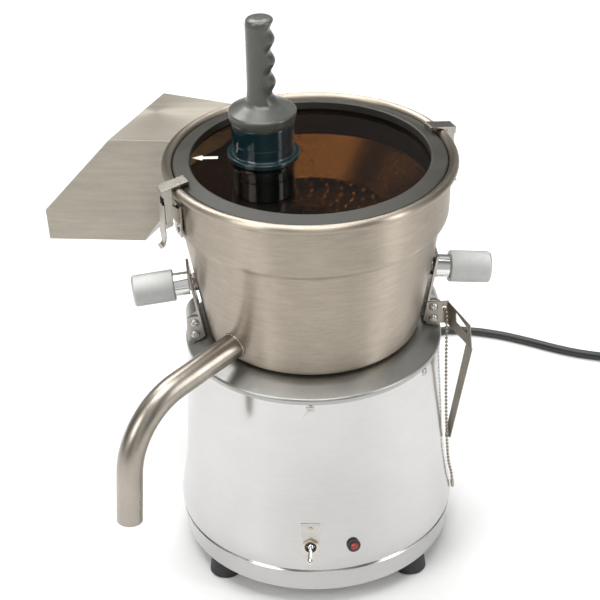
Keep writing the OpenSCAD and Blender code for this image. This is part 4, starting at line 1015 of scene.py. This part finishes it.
# %% [markdown]
# ## Lid seal
# The lid's rim is a thick rubber ring with a rounded lip, pinched over the edge
# of the clear sheet. A finer profile than the CAD one gives it soft shoulders.

# %% Lid seal
seal_profile = [
    (119.5, 431), (119.5, 428.2, 0.8), (133, 428.2, 0.8), (133, 440.4, 1.2),
    (131.6, 441.5, 0.8), (126, 442.9, 3), (118.2, 444.8, 1.4), (116.5, 444, 0.8),
    (116.5, 437), (130, 437), (130, 431)]
seal = spun("lid_seal_ring", rounded(seal_profile, 0.2, closed=True, steps=5), 180)
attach(even_shading(dress(seal, seal_rubber)), "frame")
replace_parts(seal, "lid_seal")
print("seal:", len(seal.data.polygons), "faces")

# %% [markdown]
# ## Feed tube
# The tube is moulded in one with a flange that clips into the lid, and its top
# rim is thickened. Rounded corners make the rim catch a thin line of light.

# %% Feed tube
TUBE_X, TUBE_Y = -45, 17
tube_place = Matrix.Translation((AXIS_X + TUBE_X * MM, TUBE_Y * MM, 0))
tube_profile = [
    (27.2, 389, 0.8), (30, 389, 0.8), (30, 437, 0.3), (34.8, 437, 0.4), (35.7, 438, 0.4),
    (35.7, 441.4, 0.8), (34.8, 442.4, 0.6), (30.8, 442.4, 0.6), (30, 443.5, 0.5),
    (30, 453.6, 0.4), (30.6, 454.8, 0.5), (30.6, 474.5, 1.0), (27.2, 474.5, 0.8)]
tube = spun("clear_feed_tube", rounded(tube_profile, 0.4, closed=True), 128, True, tube_place)
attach(even_shading(dress(tube, teal_clear)), "frame")
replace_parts(tube, "feed_tube")
print("feed tube:", len(tube.data.polygons), "faces")

# %% [markdown]
# ## Plunger handle
# The handle is one soft moulding: a low dome, a flare and a grip with four finger
# hollows on its right side. Each level is a ring whose right half is squashed to
# an ellipse where a finger goes, so the hollows run out smoothly to the sides.

# %% Plunger handle
GRIP_LOW, GRIP_R, GRIP_STEPS = 475.1, 14, 72
GROOVE_AT, GROOVE_PITCH, GROOVE_DEPTH = 570, 22, 4.2
GROOVES_FROM, GROOVES_TO = 18, 105
grip_profile = rounded(
    [(0, 0), (31.4, 0, 0.6), (32.7, 3.5, 1.5), (33, 7, 1.5), (33, 10.6, 3.2),
     (27, 13.6, 3), (18.4, 18.2, 2.5), (15.2, 20.6, 2.5), (14.6, 26, 6), (14, 34, 6),
     (14, 90), (14.1, 99, 2), (13.2, 104.4, 4.4), (8, 106.1, 4), (0, 106.4)], 1.0, steps=6)


def fill_in(profile, step):
    """More points along the long runs, so that a ring can be shaped at any height."""
    done = [profile[0]]
    for a, b in zip(profile, profile[1:]):
        parts = max(1, int((b - a).length / step))
        done += [a.lerp(b, (k + 1) / parts) for k in range(parts)]
    return done


def grip_points(profile, steps):
    for ring, height in profile:
        from_groove = GRIP_LOW + height - GROOVE_AT
        wave = 0.5 + 0.5 * math.cos(2 * math.pi * from_groove / GROOVE_PITCH)
        fade = ease((height - GROOVES_FROM) / 6) * ease((GROOVES_TO - height) / 4)
        depth = GROOVE_DEPTH * wave * fade
        squeeze = max(0.2, (ring - depth) / ring) if ring > 6 else 1 - depth / GRIP_R
        for k in range(steps):
            c, s = math.cos(2 * math.pi * k / steps), math.sin(2 * math.pi * k / steps)
            side = ring * c * (squeeze if c > 0 else 1)
            yield (TUBE_X + side, TUBE_Y + ring * s, GRIP_LOW + height)


levels = fill_in(grip_profile, 1.6)
grip = piece_from("moulded_grip", row_points(grip_points(levels, GRIP_STEPS)),
                  ring_faces(len(levels), GRIP_STEPS))
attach(even_shading(dress(grip, grey_plastic), 60), "plunger")
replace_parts(grip, "plunger_grip")
print("grip:", len(grip.data.polygons), "faces")

# %% [markdown]
# ## Juice spout
# The spout is one piece of tube: it leaves the bowl almost level, is bent round a
# former, and ends in a short drop that leans a little. Its centreline is drawn as
# (radius, height) in one upright plane, and rings of points are set out along it.
# Where the two straight runs would meet is the only point that has to be known.

# %% Spout centreline
SPOUT_TURN = Matrix.Rotation(math.radians(225), 4, "Z")
MEET_R, MEET_Z, MOUTH_Z, INLET = 245.5, 260.9, 146, 137.4
SLOPE, BEND, BEND_R = math.radians(7.2), math.radians(77.7), 75
DROP_LEAN = math.radians(5.1)
TUBE_R, BORE_R = 12.7, 11.2


def spout_centre():
    """The spout's centreline: straight, bent, and down to the mouth."""
    meet, head = Vector((MEET_R, MEET_Z)), Vector((math.cos(SLOPE), -math.sin(SLOPE)))
    tail = Vector((math.cos(SLOPE + BEND), -math.sin(SLOPE + BEND)))
    start, turn_in = meet - head * INLET, meet - head * BEND_R * math.tan(BEND / 2)
    line = [start.lerp(turn_in, k / 10) for k in range(10)]
    middle = turn_in + Vector((head.y, -head.x)) * BEND_R
    for k in range(33):
        a = SLOPE + BEND * k / 32
        line.append(middle + Vector((math.sin(a), math.cos(a))) * BEND_R)
    mouth = meet + tail * ((MEET_Z - MOUTH_Z) / math.cos(DROP_LEAN))
    return line + [line[-1].lerp(mouth, k / 8) for k in range(1, 9)]


print("spout: a centreline of", len(spout_centre()), "points")

# %% [markdown]
# ## Spout tube
# The tube is hollow, so its rings run down the outside, round the softened lip of
# the mouth and back up the bore. Joining the last ring to the first closes it.

# %% Spout tube


def pipe(name, line, outer, inner, sides=56):
    """A hollow tube along a line in the plane of the spout, with softened ends."""
    last, end_way = line[-1], (line[-1] - line[-2]).normalized()
    stations = [(line[0], inner), (line[0], outer)] + [(p, outer) for p in line[1:-1]]
    stations += [(last - end_way * 0.5, outer), (last, outer - 0.4), (last, inner + 0.3),
                 (last - end_way * 0.4, inner)]
    stations += [(p, inner) for p in reversed(line[1:-1])]
    ways = [(line[min(i + 1, len(line) - 1)] - line[max(i - 1, 0)]).normalized()
            for i in range(len(line))]
    points = []
    for p, r in stations:
        way = ways[min(range(len(line)), key=lambda j: (line[j] - p).length)]
        across = Vector((-way.y, way.x))
        for k in range(sides):
            a = 2 * math.pi * k / sides
            spot = p + across * (r * math.cos(a))
            points.append(SPOUT_TURN @ Vector((spot.x, r * math.sin(a), spot.y)))
    return piece_from(name, row_points(points), ring_faces(len(stations), sides, closed=True))


spout = pipe("bent_spout", spout_centre(), TUBE_R, BORE_R)
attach(even_shading(dress(spout, spout_steel), 50), "frame")
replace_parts(spout, "juice_spout")
print("spout:", len(spout.data.polygons), "faces")

# %% [markdown]
# ## Spout weld
# The spout is welded where it enters the bowl. The seam follows the line in which
# the tube cuts the cone: each of its points starts from a guess and walks along
# the tube until it lies on the cone. A small rippled bead runs on that line.

# %% Spout weld
CONE_R, CONE_Z, CONE_FLARE, FIRST_GUESS = 107.5, 264, 0.1745, 136.6


def weld_seam(steps=90):
    for k in range(steps):
        angle = 2 * math.pi * k / steps
        out, side = TUBE_R * math.cos(angle), TUBE_R * math.sin(angle)
        run = FIRST_GUESS
        for _ in range(8):
            r = MEET_R - run * math.cos(SLOPE) + out * math.sin(SLOPE)
            z = MEET_Z + run * math.sin(SLOPE) + out * math.cos(SLOPE)
            run += math.hypot(r, side) - (CONE_R + (z - CONE_Z) * CONE_FLARE)
        yield SPOUT_TURN @ Vector((r, side, z))


def closed_bead(name, line, bead_r, ripple, sides=10):
    points, count = [], len(line)
    centre = sum(line, Vector()) / count
    for i, p in enumerate(line):
        way = (line[(i + 1) % count] - line[i - 1]).normalized()
        out = (p - centre).normalized()
        up = way.cross(out)
        size = bead_r * (1 + ripple * math.cos(0.9 * i * 2 * math.pi / 3))
        for k in range(sides):
            a = 2 * math.pi * k / sides
            points.append(p + size * (math.cos(a) * out + math.sin(a) * up))
    return piece_from(name, row_points(points), ring_faces(count, sides, closed=True))


weld = closed_bead("spout_weld", list(weld_seam()), bead_r=1.3, ripple=0.12)
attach(dress(weld, spout_steel), "frame")
print("weld:", len(weld.data.polygons), "faces")

# %% [markdown]
# ## Floor
# A pale, matt floor runs under everything. It lies a fifth of a millimetre low, so
# that it never fights with the undersides that stand on it.

# %% Floor
floor_paint = finish(
    "pale_floor", (0.90, 0.90, 0.90), (0.88, 0.88, 0.88), (0.6, 0.75),
    grain=("skin", {"Cells": 400, "Waves": 12}), bump=0.03, depth=0.05)
bpy.ops.mesh.primitive_grid_add(
    x_subdivisions=8, y_subdivisions=8, size=16, location=(0, 0, -0.0002))
floor = dress(bpy.context.object, floor_paint)
floor.name = "studio_floor"
print("floor:", floor.name)

# %% [markdown]
# ## Lights
# The light is soft: a large panel to the left in front, a wide one overhead, a
# gentler one to the right, and a broad one behind that lights the rims.

# %% Lights


def panel(name, place, target, wide, high, power):
    data = bpy.data.lights.new(name, "AREA")
    data.shape, data.size, data.size_y, data.energy = "RECTANGLE", wide, high, power
    lamp = shown(name, data)
    lamp.location = place
    way = Vector(target) - Vector(place)
    lamp.rotation_euler = way.to_track_quat("-Z", "Y").to_euler()


panel("key_panel", (-1.7, -1.6, 1.7), (0, 0, 0.25), 1.1, 1.3, 21)
panel("top_panel", (-0.1, -0.3, 2.3), (0, 0, 0.3), 1.6, 1.2, 28)
panel("right_panel", (1.9, -0.9, 1.1), (0, 0, 0.3), 0.5, 1.4, 12)
panel("rim_strip", (-0.5, 1.5, 2.4), (-0.2, 0.1, 0.3), 2.2, 1.0, 44)

# %% [markdown]
# ## World
# Polished metal only shows what is round it. A plain white world would leave it
# flat, so this one has five darker bands that draw streaks down the bowl and the
# body. It is brighter overhead and dimmer behind the machine.

# %% World
BANDS, BAND_SHIFT, BAND_DEPTH, BAND_LEVEL = 5.0, 0.9, 0.42, 0.56
world = bpy.data.worlds.new("studio_world")
bpy.context.scene.world = world
world.use_nodes = True
sky = world.node_tree
way = add(sky, "SeparateXYZ", {0: add(sky, "TexCoord").outputs["Generated"]}).outputs
turn = sums(sky, "ARCTAN2", way[1], way[0])
wave = sums(sky, "COSINE", sums(sky, "MULTIPLY_ADD", turn, BANDS, BAND_SHIFT))
bands = sums(sky, "MULTIPLY_ADD", wave, BAND_DEPTH, BAND_LEVEL)
lift = add(sky, "MapRange", {0: way[2], 1: 0.0, 2: 0.95, 3: 0.7, 4: 1.0}).outputs[0]
behind = add(sky, "MapRange", {0: way[1], 1: 0.4, 2: 0.8, 3: 1.0, 4: 0.5}).outputs[0]
sky.links.new(sums(sky, "MULTIPLY", sums(sky, "MULTIPLY", bands, lift), behind),
              sky.nodes["Background"].inputs["Strength"])
sky.nodes["Background"].inputs["Color"].default_value = (1.0, 0.995, 0.985, 1)
bpy.context.scene.view_settings.view_transform = "Standard"
print("world:", int(BANDS), "bands")
